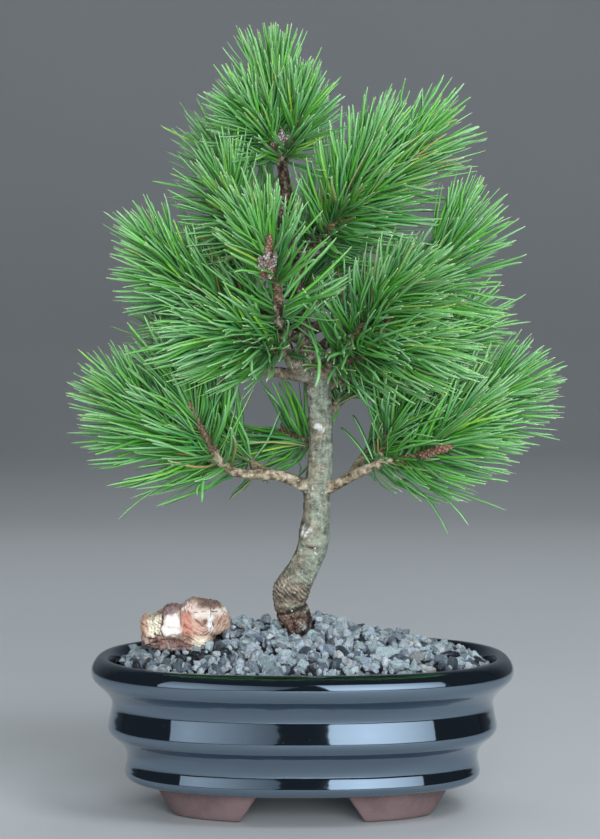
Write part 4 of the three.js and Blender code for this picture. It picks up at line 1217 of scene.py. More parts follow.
def lichen_patches(place):
    """How thickly lichen covers each point, from 0 to 1: round patches with ragged edges."""
    patch = np.zeros(len(place))
    for spot, spread, strength in PATCHES:
        away = np.linalg.norm(place - np.array(spot), axis=-1) / spread
        edge = away + 0.7 * lattice_noise(place, 1.3, 51) + 0.35 * lattice_noise(place, 0.7, 52)
        patch = np.maximum(patch, strength * np.clip((1.0 - edge) * 2.2, 0, 1))
    return patch


def bend_crease(place, slim):
    """Depth of the crease at the trunk's bend, from 0 to 1."""
    x, y, z = place.T
    height, slope, width, middle, half = BEND_CREASE
    way = (z - height + slope * x + 0.5 * lattice_noise(place, 2.0, 54)) / width
    return np.exp(-way ** 2 - ((x - middle) / half) ** 4) * (slim < 0.5) * (y < 0)


class BONSAI_OT_wood(bpy.types.Operator):
    """Build the trunk and branches as one skin, and raise the bark on it"""
    bl_idname = "bonsai.wood"
    bl_label = "Trunk and Branches"

    def execute(self, context):
        sizes = settings().tree
        lines = []
        for limb in [TRUNK] + [limb for limb, *_ in SHOOTS.values() if limb]:
            line, radius = smooth_line(limb, LIMB_STEPS * len(limb))
            lines.append((line, radius[:, 0]))
        shape = self.skin(lines, sizes)
        count = len(shape.vertices)
        place = np.empty(count * 3, np.float32)
        shape.vertices.foreach_get("co", place)
        place = (place.reshape(-1, 3).astype(float) - POT_PLACE) / MM
        normal = np.empty(count * 3, np.float32)
        shape.vertex_normals.foreach_get("vector", normal)
        normal = normal.reshape(-1, 3).astype(float)

        along, angle, slim = wood_frame(place, lines)
        height = bark_height(place, along, angle, slim)
        foot, crease, folds = graft_marks(place, slim)
        knob = (lattice_noise(place, 3.2, 33) * 1.1 + lattice_noise(place, 1.3, 34) * 0.8) * foot
        patch = lichen_patches(place)
        # The crease at the bend is pressed into the bark and also painted darker, as shade.
        bend_crease_and_shade = bend_crease(place, slim)
        height = height + 0.5 * folds - 0.5 * bend_crease_and_shade
        lift = sizes.bark_relief / MM * (height + knob - crease) * (1 - 0.35 * slim)
        moved = place + normal * (lift + 0.35 * patch)[:, None]
        shape.vertices.foreach_set("co", (moved * MM + POT_PLACE).astype(np.float32).reshape(-1))
        shape.update()
        # The bark is brown round the graft, and brown and a little darker where it faces left, partly
        # as painted shade; else grey green.
        x, _, z = place.T
        collar_height, collar_spread = COLLAR
        collar = np.exp(-((z - collar_height) / collar_spread) ** 2)
        warm = np.clip(
            0.45 + 0.45 * collar - 0.5 * normal[:, 0] + 0.6 * lattice_noise(place, 5.0, 61), 0, 1)
        # Painted shade: wood among the needles is darker, and so is the crease at the bend; both share
        # the mark of the foot's own darker bark.
        shade = (np.clip((z - SHADE_RISE[0]) / SHADE_RISE[1], 0, 1)
                 * np.clip((SHADE_SIDES[0] - np.abs(x)) / SHADE_SIDES[1], 0, 1))
        dark = np.maximum.reduce([foot, 0.5 * collar, 0.95 * shade, 0.8 * bend_crease_and_shade])
        for mark, values in {
            "relief": np.clip(height * 0.55 + 0.5 - 0.5 * crease, 0, 1), "foot": dark, "twig": slim,
            "patch": patch, "warm": warm,
        }.items():
            layer = shape.attributes.new(mark, "FLOAT", "POINT")
            layer.data.foreach_set("value", values.astype(np.float32))
        shape.materials.clear()
        shape.materials.append(bark_finish(settings().colours))
        shape.polygons.foreach_set("use_smooth", np.full(len(shape.polygons), True))
        wood = bpy.data.objects.new("bark_and_branches", shape)
        bpy.context.scene.collection.objects.link(wood)
        seat_piece(wood, ["trunk_and_branches"])
        return {"FINISHED"}

    @staticmethod
    def skin(lines, sizes):
        """Round rods along the limbs' lines, joined into one even skin and a little smoothed."""
        points, walls, caps, start = [], [], [], 0
        for line, radius in lines:
            limb_points, (wall, cap) = rods(
                line[None], radius[None], circle(LIMB_CORNERS), np.array([[0.31, 0.87, 0.38]]))
            points.append(limb_points)
            walls.append(wall + start)
            caps.append(cap + start)
            start += len(limb_points)
        mesh = bpy.data.meshes.new("wood_skin")
        fill_mesh(mesh, np.concatenate(points), [np.concatenate(walls), np.concatenate(caps)])
        piece = bpy.data.objects.new("wood_skin", mesh)
        bpy.context.scene.collection.objects.link(piece)
        remesh = piece.modifiers.new("one_skin", "REMESH")
        remesh.mode = "VOXEL"
        remesh.voxel_size = sizes.bark_grid
        soften = piece.modifiers.new("soften", "SMOOTH")
        soften.factor = 0.5
        soften.iterations = 4
        bpy.context.view_layer.update()
        shape = bpy.data.meshes.new_from_object(
            piece.evaluated_get(bpy.context.evaluated_depsgraph_get()))
        bpy.data.objects.remove(piece)
        return shape


# Pot

# Steps from one point of the wall's profile to the next, and points round the oval.
WALL_STEPS = 6
WALL_SIDES = 192


class BONSAI_OT_pot(bpy.types.Operator):
    """Build the glazed wall of the pot: its profile is turned round the oval plan"""
    bl_idname = "bonsai.pot"
    bl_label = "Glazed Pot"

    def execute(self, context):
        wall = [(x, z, 0, 0) for x, z in POT_WALL]
        profile, _ = smooth_line(wall, WALL_STEPS * (len(wall) - 1) + 1)
        half, height = np.maximum(profile[:, 0], 0), profile[:, 1]
        sides = WALL_SIDES
        # Equal steps of this angle keep the points even where the oval is nearly straight.
        angle = np.arange(sides) * TURN / sides
        angle = angle - 0.07 * np.sin(4 * angle)
        x, y = oval(half[1:-1, None], angle[None, :])
        z = np.broadcast_to(height[1:-1, None], x.shape)
        rings = np.stack([x, y, z], axis=-1)
        rows = len(rings)
        poles = np.array([[0, 0, height[0]], [0, 0, height[-1]]])
        points = np.concatenate([rings.reshape(-1, 3), poles])
        faces = closed_grid(rows, sides)
        add_piece("pot_wall", points, faces, glaze_finish(settings().colours), ["pot"])
        return {"FINISHED"}


def foot_section(corners, rise):
    """Outline of a foot cut across: it leans in towards the floor, and its edges are rounded.
    A rounded box is drawn in unit steps, and its sides then follow the outer and inner walls."""
    angle = (np.arange(corners) + 0.5) * TURN / corners
    u = np.clip(signed_power(np.cos(angle), 0.22), -1, 1)
    v = np.clip(signed_power(np.sin(angle), 0.22), -1, 1)
    share = (v + 1) / 2
    outer = FOOT_OUTSIDE[0] * (1 - share) + FOOT_OUTSIDE[1] * share
    inner = FOOT_INSIDE[0] * (1 - share) + FOOT_INSIDE[1] * share
    return (outer + inner) / 2 + u * (outer - inner) / 2, share * rise


class BONSAI_OT_feet(bpy.types.Operator):
    """Build the pot's four bare clay feet, cut off at a slope beside each opening"""
    bl_idname = "bonsai.feet"
    bl_label = "Pot Feet"

    def execute(self, context):
        sizes = settings().pot
        corners, stations = 40, 60
        rise = sizes.foot_height / MM
        half, height = foot_section(corners, rise)
        slope = np.clip(height / POT_BASE_HEIGHT, 0, 1)[None, :]
        front = (sizes.front_opening_low * (1 - slope) + sizes.front_opening_high * slope) / MM / 2
        end = (sizes.end_opening_low * (1 - slope) + sizes.end_opening_high * slope) / MM / 2
        inset = PLAN_INSET * np.minimum(1, half / PLAN_CORE)
        first = np.arcsin((end / (half - inset)) ** (PLAN_POWER / 2))
        last = np.arccos((front / half) ** (PLAN_POWER / 2))
        t = np.linspace(0, 1, stations)[:, None]
        angle = first * (1 - t) + last * t
        # The ends are rounded over: the section shrinks a little in the last steps.
        ease = np.clip(np.minimum(t, 1 - t) / 0.03, 0, 1)
        shrink = 0.92 + 0.08 * np.sqrt(1 - (1 - ease) ** 2)
        middle = half.mean()
        x, y = oval(middle + (half[None, :] - middle) * shrink, angle)
        z = np.broadcast_to(height[None, :], x.shape)
        points, walls, caps = [], [], []
        for number, (flip_x, flip_y) in enumerate([(1, 1), (-1, 1), (1, -1), (-1, -1)]):
            ring = np.stack([x * flip_x, y * flip_y, z], axis=-1)
            block = np.concatenate([ring.reshape(-1, 3), [ring[0].mean(0), ring[-1].mean(0)]])
            wall, cap = closed_grid(stations, corners, flipped=flip_x * flip_y < 0)
            walls.append(wall + number * len(block))
            caps.append(cap + number * len(block))
            points.append(block)
        points = np.concatenate(points)
        # The glaze stops just under the pot's base, along a line that waves a little.
        stop = POT_BASE_HEIGHT - 0.6 + 0.7 * lattice_noise(points * [1, 1, 0], 7, 5)
        glaze = np.clip((points[:, 2] - stop) / 0.35, 0, 1)
        add_piece("pot_feet", points, [np.concatenate(walls), np.concatenate(caps)],
                  clay_finish(settings().colours), ["pot"], marks={"glaze": glaze})
        return {"FINISHED"}


# Gravel, stone and what lies under them

def stone_shape():
    """Points and faces of a ball of 72 triangles: an octahedron whose edges are cut in three."""
    corners = np.array([(1, 0, 0), (-1, 0, 0), (0, 1, 0), (0, -1, 0), (0, 0, 1), (0, 0, -1)], float)
    faces = [(0, 2, 4), (2, 1, 4), (1, 3, 4), (3, 0, 4), (2, 0, 5), (1, 2, 5), (3, 1, 5), (0, 3, 5)]
    numbers, split = {}, []

    def number(place):
        return numbers.setdefault(tuple(int(v) for v in place), len(numbers))

    for a, b, c in corners[np.array(faces)]:
        # Corner (i, j) of a face lies i thirds of the way from a to b and j thirds from a to c.
        at = {(i, j): number((3 - i - j) * a + i * b + j * c)
              for i in range(4) for j in range(4 - i)}
        for i, j in at:
            if (i + 1, j) in at:
                split.append((at[i, j], at[i + 1, j], at[i, j + 1]))
            if i > 0 and (i, j + 1) in at:
                split.append((at[i, j], at[i, j + 1], at[i - 1, j + 1]))
    return unit(np.array(list(numbers), float)), np.array(split)


def random_turns(random, count):
    """Evenly spread rotations, from unit quaternions."""
    q = unit(random.normal(size=(count, 4)))
    w, x, y, z = q.T
    return np.stack([
        1 - 2 * (y * y + z * z), 2 * (x * y - w * z), 2 * (x * z + w * y),
        2 * (x * y + w * z), 1 - 2 * (x * x + z * z), 2 * (y * z - w * x),
        2 * (x * z - w * y), 2 * (y * z + w * x), 1 - 2 * (x * x + y * y)], axis=-1).reshape(-1, 3, 3)


# Stones are set in layers: the pitch of each as a share of the full one, the size of its stones
# in the same way, and how deep they lie.
LAYERS = [(1.0, 1.0, 0.0), (1.0, 1.0, 2.9), (0.9, 0.56, -0.6)]
# How far from a stone's middle its flat sides are cut, as shares of its radius.
STONE_CUTS = (0.36, 0.45, 0.52, 0.57, 0.62, 0.66, 0.7, 0.74, 0.78)
# The smallest and the largest radius of a stone.
STONE_RADII = (1.3, 6.6)
# Rows of a net of even triangles lie this share of its pitch apart.
ROW_SHARE = 0.866
# In front of the accent stone the stones lie lower: where, how far round it, and how much.
LOW_PLACE = (-50, -28)
LOW_SPREAD = (17, 9)
LOW_DEPTH = 2.6
# Half length of the gravel inside the pot's wall, and the bed under the loose stones: how far it
# lies below the mound's surface, the height of its underside, and its low brightness mark, which paints
# shade in the gaps.
GRAVEL_HALF = 92.6
BED_DEPTH = 4.2
BED_BOTTOM = 62.8
BED_SHADE = 0.1
# Brightness marks of the stones: their middle and spread, and how fast they fall, as painted shade, for
# stones that lie deeper than this under the mound's surface.
STONE_TINT = (0.59, 0.19)
DEEP_SHADE = 0.45
DEEP_FROM = 1.6


class BONSAI_OT_gravel(bpy.types.Operator):
    """Build the crushed stone, one small angular stone at a time, in layers over the mound"""
    bl_idname = "bonsai.gravel"
    bl_label = "Gravel"

    def execute(self, context):
        sizes = settings().gravel
        random = np.random.default_rng(17)
        shape, faces = stone_shape()
        each = len(shape)
        spots, radii = self.scatter(sizes, random)
        count = len(spots)
        points = self.cut_stones(shape, spots, radii, random)
        corners = (faces[None] + (np.arange(count) * each)[:, None, None]).reshape(-1, 3)
        below = mound_height(spots[:, 0], spots[:, 1]) - spots[:, 2]
        # Painted shade: stones that lie deeper under the mound's surface are darkened, for dark gaps.
        tint = random.normal(*STONE_TINT, count) - DEEP_SHADE * np.clip(below - DEEP_FROM, 0, 3)
        hue = random.random(count)
        bed_points, bed_faces = self.bed()
        add_piece("gravel_stones", np.concatenate([points, bed_points]),
                  [corners] + [f + len(points) for f in bed_faces],
                  gravel_finish(settings().colours), ["gravel"], smooth=False,
                  marks={
                      "tint": self.with_bed(np.clip(tint, 0, 1), each, bed_points),
                      "hue": self.with_bed(hue, each, bed_points)})
        return {"FINISHED"}

    @classmethod
    def scatter(cls, sizes, random):
        """Middles and radii of the stones of all layers: a net of triangles over the mound, with
        each stone moved a little off its corner."""
        spots, radii = [], []
        for pitch_share, size_share, depth in LAYERS:
            pitch = sizes.stone_pitch / MM * pitch_share
            rows = int(2 * MOUND_DEPTH / (pitch * ROW_SHARE)) + 4
            columns = int(2 * MOUND_LENGTH / pitch) + 4
            row, column = np.meshgrid(np.arange(rows), np.arange(columns), indexing="ij")
            x = (column + (row % 2) / 2 - columns / 2) * pitch
            y = (row - rows / 2) * pitch * ROW_SHARE
            x = (x + random.uniform(-0.5, 0.5, x.shape) * pitch).reshape(-1)
            y = (y + random.uniform(-0.5, 0.5, y.shape) * pitch).reshape(-1)
            size = sizes.stone_size / MM * size_share * random.lognormal(-0.08, 0.36, x.shape)
            size = np.clip(size, *STONE_RADII)
            keep = cls.is_free(x, y, size)
            x, y, size = x[keep], y[keep], size[keep]
            edge = np.abs(x / MOUND_LENGTH) ** PLAN_POWER + np.abs(y / MOUND_DEPTH) ** PLAN_POWER
            lift = random.uniform(-0.9, 1.3, x.shape) - depth - size * 0.42
            lift = lift - 1.2 * np.clip((edge - 0.75) / 0.25, 0, 1)
            from_low = (((x - LOW_PLACE[0]) / LOW_SPREAD[0]) ** 2
                        + ((y - LOW_PLACE[1]) / LOW_SPREAD[1]) ** 2)
            lift = lift - LOW_DEPTH * np.exp(-from_low)
            spots.append(np.stack([x, y, mound_height(x, y) + lift], axis=-1))
            radii.append(size)
        return np.concatenate(spots), np.concatenate(radii)

    @staticmethod
    def cut_stones(shape, spots, radii, random):
        """Points of all stones. A stone is the ball cut flat on random sides, with each point
        pushed in or out, drawn out to a random box and turned. The largest are the flattest."""
        count = len(spots)
        local = np.broadcast_to(shape, (count, *shape.shape)) * 1.1
        for cut_depth in STONE_CUTS:
            way = unit(random.normal(size=(count, 1, 3)))
            over = np.maximum((local * way).sum(-1, keepdims=True) - cut_depth, 0)
            local = local - over * way
        local = local * random.uniform(0.9, 1.12, (count, len(shape), 1))
        flat = np.clip(0.9 - 0.11 * (radii - 2.5), 0.5, 0.95)
        box = random.uniform(0.66, 1.3, (count, 1, 3))
        box[:, 0, 2] *= flat
        local = local * box * radii[:, None, None]
        turned = np.einsum("nij,nkj->nki", random_turns(random, count), local)
        return (turned + spots[:, None, :]).reshape(-1, 3)

    @staticmethod
    def is_free(x, y, size):
        """Stones stay inside the wall, and clear of the trunk and of the accent stone."""
        wall = GRAVEL_HALF - size * 0.55
        inside = (np.abs(x / wall) ** PLAN_POWER
                  + np.abs(y / (wall - PLAN_INSET)) ** PLAN_POWER) < 1
        trunk = np.hypot(x - TRUNK[3][0], y - TRUNK[3][1]) > TRUNK[3][3] - 0.4 + size * 0.5
        accent = (np.abs((x - ACCENT_PLACE[0]) / (ACCENT_HALF[0] - 3)) ** 2.6
                  + np.abs((y - ACCENT_PLACE[1]) / (ACCENT_HALF[1] - 3)) ** 2.6) > 1
        return inside & trunk & accent

    @staticmethod
    def with_bed(values, each, bed_points):
        """One value for each stone, spread over its points, and a low one that darkens the bed with
        painted shade.
        """
        return np.concatenate([np.repeat(values, each), np.full(len(bed_points), BED_SHADE)])

    @staticmethod
    def bed():
        """Finer crushed stone under the loose stones, kept dark as painted shade in the gaps between
        them: the mound's own surface, a little lower, closed by a flat underside."""
        rings, sides = 26, 96
        half = np.linspace(0, GRAVEL_HALF, rings)[1:]
        angle = np.arange(sides) * TURN / sides
        x, y = oval(half[:, None], angle[None, :])
        top = np.stack([x, y, mound_height(x, y) - BED_DEPTH], axis=-1).reshape(-1, 3)
        under = np.stack([x[-1] * 0.98, y[-1] * 0.98, np.full(sides, BED_BOTTOM)], axis=-1)
        poles = [[0, 0, mound_height(0.0, 0.0) - BED_DEPTH], [0, 0, BED_BOTTOM]]
        return np.concatenate([top, under, poles]), closed_grid(rings, sides, flipped=True)


# The accent stone's outline as seen from the front, from its middle: x and z of its corners, from
# the left end over the top and the right end to the underside.
ACCENT_OUTLINE = [
    (-22.6, -2), (-22.3, 3), (-21.6, 5.2), (-17.4, 5.6), (-12.6, 7.4), (-9.8, 10.2), (-6.6, 10.7),
    (-2.6, 9.9), (0.8, 13.0), (3.2, 14.0), (9.4, 13.2), (15.2, 12.5), (18.8, 10.0), (21.9, 7.4),
    (22.6, 3), (22.0, -1), (18.6, -3.4), (14.8, -4.6), (14.2, -8.2), (11.0, -12.4), (0, -12.4),
    (-12, -12.4), (-21.6, -9.4),
]
# Blocks that stand out from its front or lie back: x, z, half width, half height and how far.
ACCENT_BLOCKS = [
    (-17.2, 0.5, 5.2, 5.5, 2.6), (-6.6, 1.6, 4.9, 6.2, 2.0), (2.5, 2.4, 3.6, 5.4, -0.8),
    (9.5, -9.0, 4.6, 4.4, 2.2), (12.6, 2.0, 2.6, 3.8, 0.8), (19.2, 2.6, 2.7, 5.4, 0.6),
    (-8.0, -8.6, 9.5, 2.6, -2.0),
]
# Cracks over its front, pressed in and darkened with painted shade: both ends, as x and z, and half the
# width.
ACCENT_CRACKS = [
    ((-11.9, 7.4), (-11.7, -4.4), 0.42), ((-19, -5.2), (-12, -4.6), 0.7),
    ((-12, -4.8), (-2, -3.2), 0.5), ((-2, 8.0), (-1.6, 2.6), 0.25), ((-1.6, -3.6), (5.5, -6.2), 0.45),
    ((6.5, -5.6), (10.6, -1.4), 0.28), ((15.2, 5.0), (15.4, -1.0), 0.3),
    ((-19.5, -9.5), (-14, -7.0), 0.6), ((-2.4, 9.8), (-11.4, 7.6), 0.3),
    ((1.5, 9.0), (17.6, 9.2), 0.24), ((-15.6, 5.6), (-15.4, -3.8), 0.2),
    ((-13.7, 6.4), (-13.6, -4), 0.16),
]
# Its patches of colour, each laid over those before: x, z, half width, half height and colour.
ACCENT_PATCHES = [
    (-20.5, 1, 4.2, 6, (0.66, 0.42, 0.30)), (-15, 1.4, 3.6, 5.2, (0.68, 0.62, 0.49)),
    (-6.8, 2.2, 5.0, 6.6, (0.74, 0.66, 0.61)), (-8.6, 9.4, 5.4, 2.7, (0.26, 0.17, 0.18)),
    (2.6, 10.6, 4.6, 3.0, (0.60, 0.46, 0.42)), (12, 12.0, 5.6, 1.6, (0.13, 0.075, 0.062)),
    (1.6, 2.6, 3.0, 5.4, (0.46, 0.20, 0.15)), (7.2, 0.4, 3.8, 6.6, (0.50, 0.33, 0.26)),
    (9.5, 7.4, 6.0, 2.3, (0.62, 0.54, 0.48)), (18.8, 3.0, 3.6, 7.0, (0.40, 0.27, 0.21)),
    (13.4, 2.2, 1.7, 3.4, (0.74, 0.72, 0.72)), (17.4, 8.4, 3.6, 1.5, (0.66, 0.60, 0.56)),
    # This wide low patch is painted shade: the darker maroon band along the stone's underside.
    (-9, -8.6, 14, 3.4, (0.27, 0.155, 0.13)),
    (-19.6, -7.6, 2.6, 2.6, (0.42, 0.31, 0.27)), (-4.5, -10.6, 6.5, 1.7, (0.30, 0.22, 0.22)),
    (9.2, -9.0, 5.4, 4.8, (0.68, 0.60, 0.48)),
]
# The middle of the folded layers, and how much they are drawn out along X and Z.
FOLD_PLACE = (8.0, 10.5)
FOLD_SIZE = (0.8, 1.15)
# Its flat underside, its depth as a share of the whole, and the rows and columns of its points.
ACCENT_BOTTOM = -12.4
ACCENT_DEPTH_SHARE = 0.8
ACCENT_GRID = (136, 240)
# The colour under its patches, then how all its colours are made deeper, brighter and capped.
ACCENT_GROUND = (0.30, 0.20, 0.15)
ACCENT_CONTRAST = 1.14
ACCENT_BRIGHTNESS = 1.24
ACCENT_PALEST = 0.92


class BONSAI_OT_accent(bpy.types.Operator):
    """Build the banded accent stone from its outline, with blocks, cracks and folded layers"""
    bl_idname = "bonsai.accent"
    bl_label = "Accent Stone"

    def execute(self, context):
        rows, columns = ACCENT_GRID
        tip = ACCENT_HALF[1] * ACCENT_DEPTH_SHARE
        # Rows run from the front to the back, columns round the outline.
        down = (np.arange(rows) + 0.5)[:, None] * math.pi / rows
        turn = np.arange(columns)[None, :] * TURN / columns
        reach = self.outline_reach(turn) * np.sin(down) ** 0.42
        x = np.cos(turn) * reach
        z = np.sin(turn) * reach
        y = np.broadcast_to(-tip * signed_power(np.cos(down), 0.62), x.shape)
        place = np.stack([x, y, z], axis=-1).reshape(-1, 3)
        place = np.concatenate([place, [[0, -tip, 0], [0, tip, 0]]])
        x, y, z = place.T
        front = np.clip((3 - y) / 6, 0, 1)

        # Noise bends the edges of the blocks, cracks and patches.
        bent_x = x + 0.9 * lattice_noise(place, 3.4, 2) + 0.4 * lattice_noise(place, 1.5, 4)
        bent_z = z + 0.9 * lattice_noise(place, 3.4, 3) + 0.4 * lattice_noise(place, 1.5, 5)
        ahead = np.zeros(len(place))
        for mid_x, mid_z, half_x, half_z, out in ACCENT_BLOCKS:
            ahead += out * self.within(bent_x - mid_x, bent_z - mid_z, half_x, half_z, 5)
        crack = self.crack_depth(bent_x, bent_z)
        crack = crack * front * np.clip(0.75 + 0.9 * lattice_noise(place, 2.4, 8), 0.1, 1)
        layer, folded = self.layers(place, bent_x, bent_z)
        strata = np.sin(layer * TURN / 1.7 + 1.5 * lattice_noise(place, 2.2, 6))

        crags = lattice_noise(place, 6.5, 9)
        chips = 1 - 2.2 * np.abs(lattice_noise(place, 2.8, 15))
        grit = lattice_noise(place, 1.1, 14)
        height = 1.0 * crags + 0.7 * chips + 0.35 * grit + 0.3 * strata * folded
        way = unit(place / np.array(ACCENT_HALF) ** 1.3)
        place = place + way * (height * 0.85 - 0.8 - 1.2 * crack)[:, None]
        place[:, 1] -= ahead * front
        limit = np.array(ACCENT_HALF) - [0.5, 0.4, 0.4]
        place = np.clip(place, -limit, limit)
        place[:, 2] = np.maximum(place[:, 2], ACCENT_BOTTOM)

        add_piece("banded_accent_stone", place + np.array(ACCENT_PLACE),
                  closed_grid(rows, columns, flipped=True), banded_finish(),
                  ["accent_stone"], marks={
                      "patch_colour": self.patch_colours(bent_x, bent_z),
                      # The relief mark is low in cracks and hollows, where the finish paints shade.
                      "relief": np.clip(0.62 + 0.28 * height - 0.75 * crack, 0, 1),
                      "layer": layer, "folded": folded, "rise": z / ACCENT_HALF[2],
                      "across": y / ACCENT_HALF[1]})
        return {"FINISHED"}

    @staticmethod
    def outline_reach(angle):
        """How far the outline lies from its middle at each angle, along its straight edges."""
        corners = np.array(ACCENT_OUTLINE[::-1], float)
        steps = np.linspace(0, 1, 12, endpoint=False)[None, :, None]
        edge = (corners[:, None] * (1 - steps) + np.roll(corners, -1, axis=0)[:, None] * steps)
        x, z = edge.reshape(-1, 2).T
        at = np.arctan2(z, x) % TURN
        order = np.argsort(at)
        return np.interp(angle, at[order], np.hypot(x, z)[order], period=TURN)

    @staticmethod
    def crack_depth(x, z):
        """Depth of the cracks, from 0 to 1: each falls off from the line between its ends."""
        crack = np.zeros(len(x))
        for (x0, z0), (x1, z1), width in ACCENT_CRACKS:
            share = ((x - x0) * (x1 - x0) + (z - z0) * (z1 - z0)) / ((x1 - x0) ** 2 + (z1 - z0) ** 2)
            share = np.clip(share, 0, 1)
            away = np.hypot(x - x0 - share * (x1 - x0), z - z0 - share * (z1 - z0))
            crack = np.maximum(crack, np.exp(-(away / width) ** 2))
        return crack

    @classmethod
    def layers(cls, place, x, z):
        """How far across the layers each point is, and how strongly they show there. They are
        upright on the left. On the right they are folded round a middle."""
        fold_x, fold_z = FOLD_PLACE
        ring = np.hypot((x - fold_x) / FOLD_SIZE[0], (z - fold_z) / FOLD_SIZE[1])
        left = 1 / (1 + np.exp((x + 2) / 0.8))
        layer = left * (x + 0.3 * z) + (1 - left) * ring * 1.15
        layer = layer + 1.6 * lattice_noise(place, 5.5, 10)
        folded = np.clip(1 - 0.75 * cls.within(x + 6.8, z - 1.6, 4.6, 6.0, 4), 0, 1)
        return layer, folded * (1 - (1 - left) * np.exp(-(ring / 3.6) ** 2))

    @classmethod
    def patch_colours(cls, x, z):
        """Colour of each point: the patches, each laid over those before."""
        colour = np.tile([ACCENT_GROUND], (len(x), 1))
        for mid_x, mid_z, half_x, half_z, shade in ACCENT_PATCHES:
            mask = cls.within(x - mid_x, z - mid_z, half_x, half_z, 3)[:, None]
            colour = colour * (1 - mask) + np.array(shade) * mask
        return np.clip(ACCENT_BRIGHTNESS * colour ** ACCENT_CONTRAST, 0, ACCENT_PALEST)

    @staticmethod
    def within(x, z, half_x, half_z, edge):
        """1 inside an upright oval of these half sizes and 0 outside, with a steep edge."""
        away = (np.abs(x / half_x) ** 3 + np.abs(z / half_z) ** 3) ** (1 / 3)
        return 1 / (1 + np.exp(np.clip((away - 1) * edge * min(half_x, half_z), -40, 40)))


class BONSAI_OT_hidden(bpy.types.Operator):
    """Give the soil and the drain screens, which lie inside the pot, their own finishes"""
    bl_idname = "bonsai.hidden"
    bl_label = "Soil and Drain Screens"

    def execute(self, context):
        plastic = mesh_plastic_finish()
        for name, finish in {
            "soil": soil_finish(), "drain_screen_left": plastic, "drain_screen_right": plastic,
        }.items():
            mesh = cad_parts[name].data
            mesh.materials.clear()
            mesh.materials.append(finish)
        return {"FINISHED"}


# Stage

# The floor's run from the front to the back, as y and z in metres: flat, then a quarter turn up.
FLOOR_RUN = [
    (-6.0, 0), (-3.0, 0), (-1.0, 0), (0.5, 0), (1.6, 0), (2.1, 0.03), (2.5, 0.16), (2.8, 0.42),
    (2.95, 0.8), (3.0, 1.4), (3.0, 3.5),
]
FLOOR_HALF = 6
# The floor lies this much, in metres, under the feet.
FLOOR_GAP = 0.0002
SKY_COLOUR = (0.72, 0.86, 1.0, 1)
SKY_STRENGTH = 0.05
LIGHT_COLOUR = (0.88, 0.95, 1.0)
# Lights: place and aim in metres, size in metres, spread in degrees, power in watts, and whether
# the pot mirrors them. The two boxes stand on either side of the view, and the glaze mirrors them.
# Their slats dim what leaves them aslant, so their mirror pictures fade to one side. The sky box
# is only seen in mirrors, and lights nothing.
LIGHTS = [
    ("right_box", (0.665, -0.934, 0.62), (0.255, 0.194, 0.3), (1.245, 1.03), 110, 2.8, True),
    ("left_box", (-0.575, -1.098, 0.6), (0.3, -0.28, 0.3), (1.36, 1.05), 100, 1.1, True),
    ("key_light", (0.75, -0.9, 1.6), (0, 0, 0.2), (0.6, 0.6), 180, 12, False),
    ("front_light", (0.2, -1.7, 0.4), (0, 0, 0.15), (1.0, 0.7), 180, 36, False),
    ("top_light", (0.0, 0.2, 1.9), (0, 0, 0.1), (1.6, 1.2), 180, 6, False),
    ("sky_box", (0.0, 0.2, 1.9), (0, 0, 0.1), (1.6, 1.2), 180, 24, True),
    ("rim_light", (-0.9, 1.2, 1.0), (0, 0, 0.2), (0.8, 0.8), 180, 4, False),
    ("back_light", (0.5, 1.1, 1.3), (0, 0, 0.15), (1.0, 1.0), 180, 6, False),
]


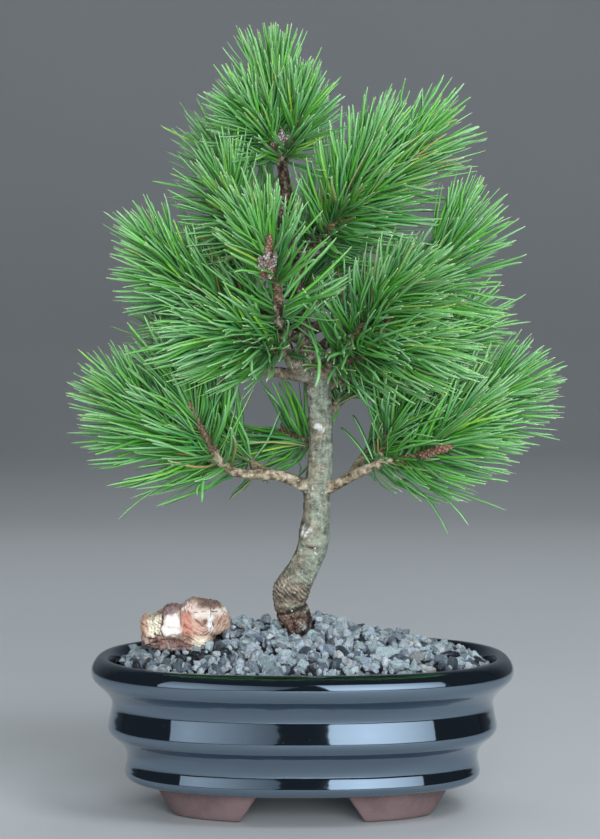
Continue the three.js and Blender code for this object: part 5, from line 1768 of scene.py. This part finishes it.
class BONSAI_OT_stage(bpy.types.Operator):
    """Set the pale floor, the soft lights and the camera"""
    bl_idname = "bonsai.stage"
    bl_label = "Stage"

    def execute(self, context):
        stage = settings().stage
        self.floor()
        self.lights(stage.light)
        self.camera(stage)
        return {"FINISHED"}

    @staticmethod
    def floor():
        """A wide flat floor that rises in a smooth quarter turn far behind the tree."""
        run = np.array(FLOOR_RUN)
        x = np.linspace(-FLOOR_HALF, FLOOR_HALF, 9)
        y = np.broadcast_to(run[:, 0, None], (len(run), len(x)))
        z = np.broadcast_to(run[:, 1, None], y.shape)
        points = np.stack([np.broadcast_to(x, y.shape), y, z - FLOOR_GAP], axis=-1).reshape(-1, 3)
        mesh = bpy.data.meshes.new("floor")
        fill_mesh(mesh, points / MM, [grid_faces(len(run), len(x))])
        mesh.materials.append(floor_finish(settings().colours))
        mesh.polygons.foreach_set("use_smooth", np.full(len(mesh.polygons), True))
        floor = bpy.data.objects.new("floor", mesh)
        bpy.context.scene.collection.objects.link(floor)

    @staticmethod
    def lights(strength):
        world = bpy.data.worlds.new("studio")
        world.use_nodes = True
        background = world.node_tree.nodes["Background"]
        background.inputs["Color"].default_value = SKY_COLOUR
        background.inputs["Strength"].default_value = SKY_STRENGTH * strength
        bpy.context.scene.world = world
        for name, place, aim, size, spread, power, mirrored in LIGHTS:
            light = bpy.data.lights.new(name, "AREA")
            light.shape = "RECTANGLE"
            light.size, light.size_y = size
            light.spread = math.radians(spread)
            light.energy = power * strength
            light.color = LIGHT_COLOUR
            lamp = bpy.data.objects.new(name, light)
            lamp.location = place
            lamp.rotation_euler = (Vector(aim) - Vector(place)).to_track_quat("-Z", "Y").to_euler()
            lamp.visible_glossy = mirrored
            lamp.visible_diffuse = name != "sky_box"
            bpy.context.scene.collection.objects.link(lamp)

    @staticmethod
    def camera(stage):
        """The picture's middle lies a little left of the pot's, and about half way up the tree."""
        aim = Vector((POT_PLACE[0] - AIM_LEFT * MM, POT_PLACE[1], AIM_HEIGHT * MM))
        lens = bpy.data.cameras.new("camera")
        lens.sensor_fit = "VERTICAL"
        lens.angle = 2 * math.atan(stage.picture_height / 2 / stage.camera_distance)
        camera = bpy.data.objects.new("camera", lens)
        camera.location = (aim.x, aim.y - stage.camera_distance, stage.camera_height)
        camera.rotation_euler = (aim - camera.location).to_track_quat("-Z", "Y").to_euler()
        bpy.context.scene.collection.objects.link(camera)
        bpy.context.scene.camera = camera
        bpy.context.scene.view_settings.view_transform = "Standard"
        bpy.context.scene.view_settings.look = "None"


class BONSAI_PT_panel(bpy.types.Panel):
    """Lists the bonsai's sizes, colours and pieces"""
    bl_idname = "BONSAI_PT_panel"
    bl_label = "Mugo Pine Bonsai"
    bl_space_type = "VIEW_3D"
    bl_region_type = "UI"
    bl_category = "Bonsai"

    def draw(self, context):
        chosen = context.scene.bonsai
        for group in (chosen.tree, chosen.pot, chosen.gravel, chosen.colours, chosen.stage):
            box = self.layout.box()
            for name in group.__annotations__:
                box.prop(group, name)
        for operator in OPERATORS:
            self.layout.operator(operator.bl_idname)


GROUPS = (TreeSizes, PotSizes, GravelSizes, Colours, StageSizes, BonsaiSettings)
OPERATORS = (
    BONSAI_OT_stage, BONSAI_OT_pot, BONSAI_OT_feet, BONSAI_OT_hidden, BONSAI_OT_gravel,
    BONSAI_OT_accent, BONSAI_OT_wood, BONSAI_OT_shoots, BONSAI_OT_needles,
)


def register():
    for item in (*GROUPS, *OPERATORS, BONSAI_PT_panel):
        bpy.utils.register_class(item)
    bpy.types.Scene.bonsai = PointerProperty(type=BonsaiSettings)


def unregister():
    del bpy.types.Scene.bonsai
    for item in reversed((*GROUPS, *OPERATORS, BONSAI_PT_panel)):
        bpy.utils.unregister_class(item)


def main():
    register()
    for operator in OPERATORS:
        group, name = operator.bl_idname.split(".")
        getattr(getattr(bpy.ops, group), name)()


if __name__ == "__main__":
    main()
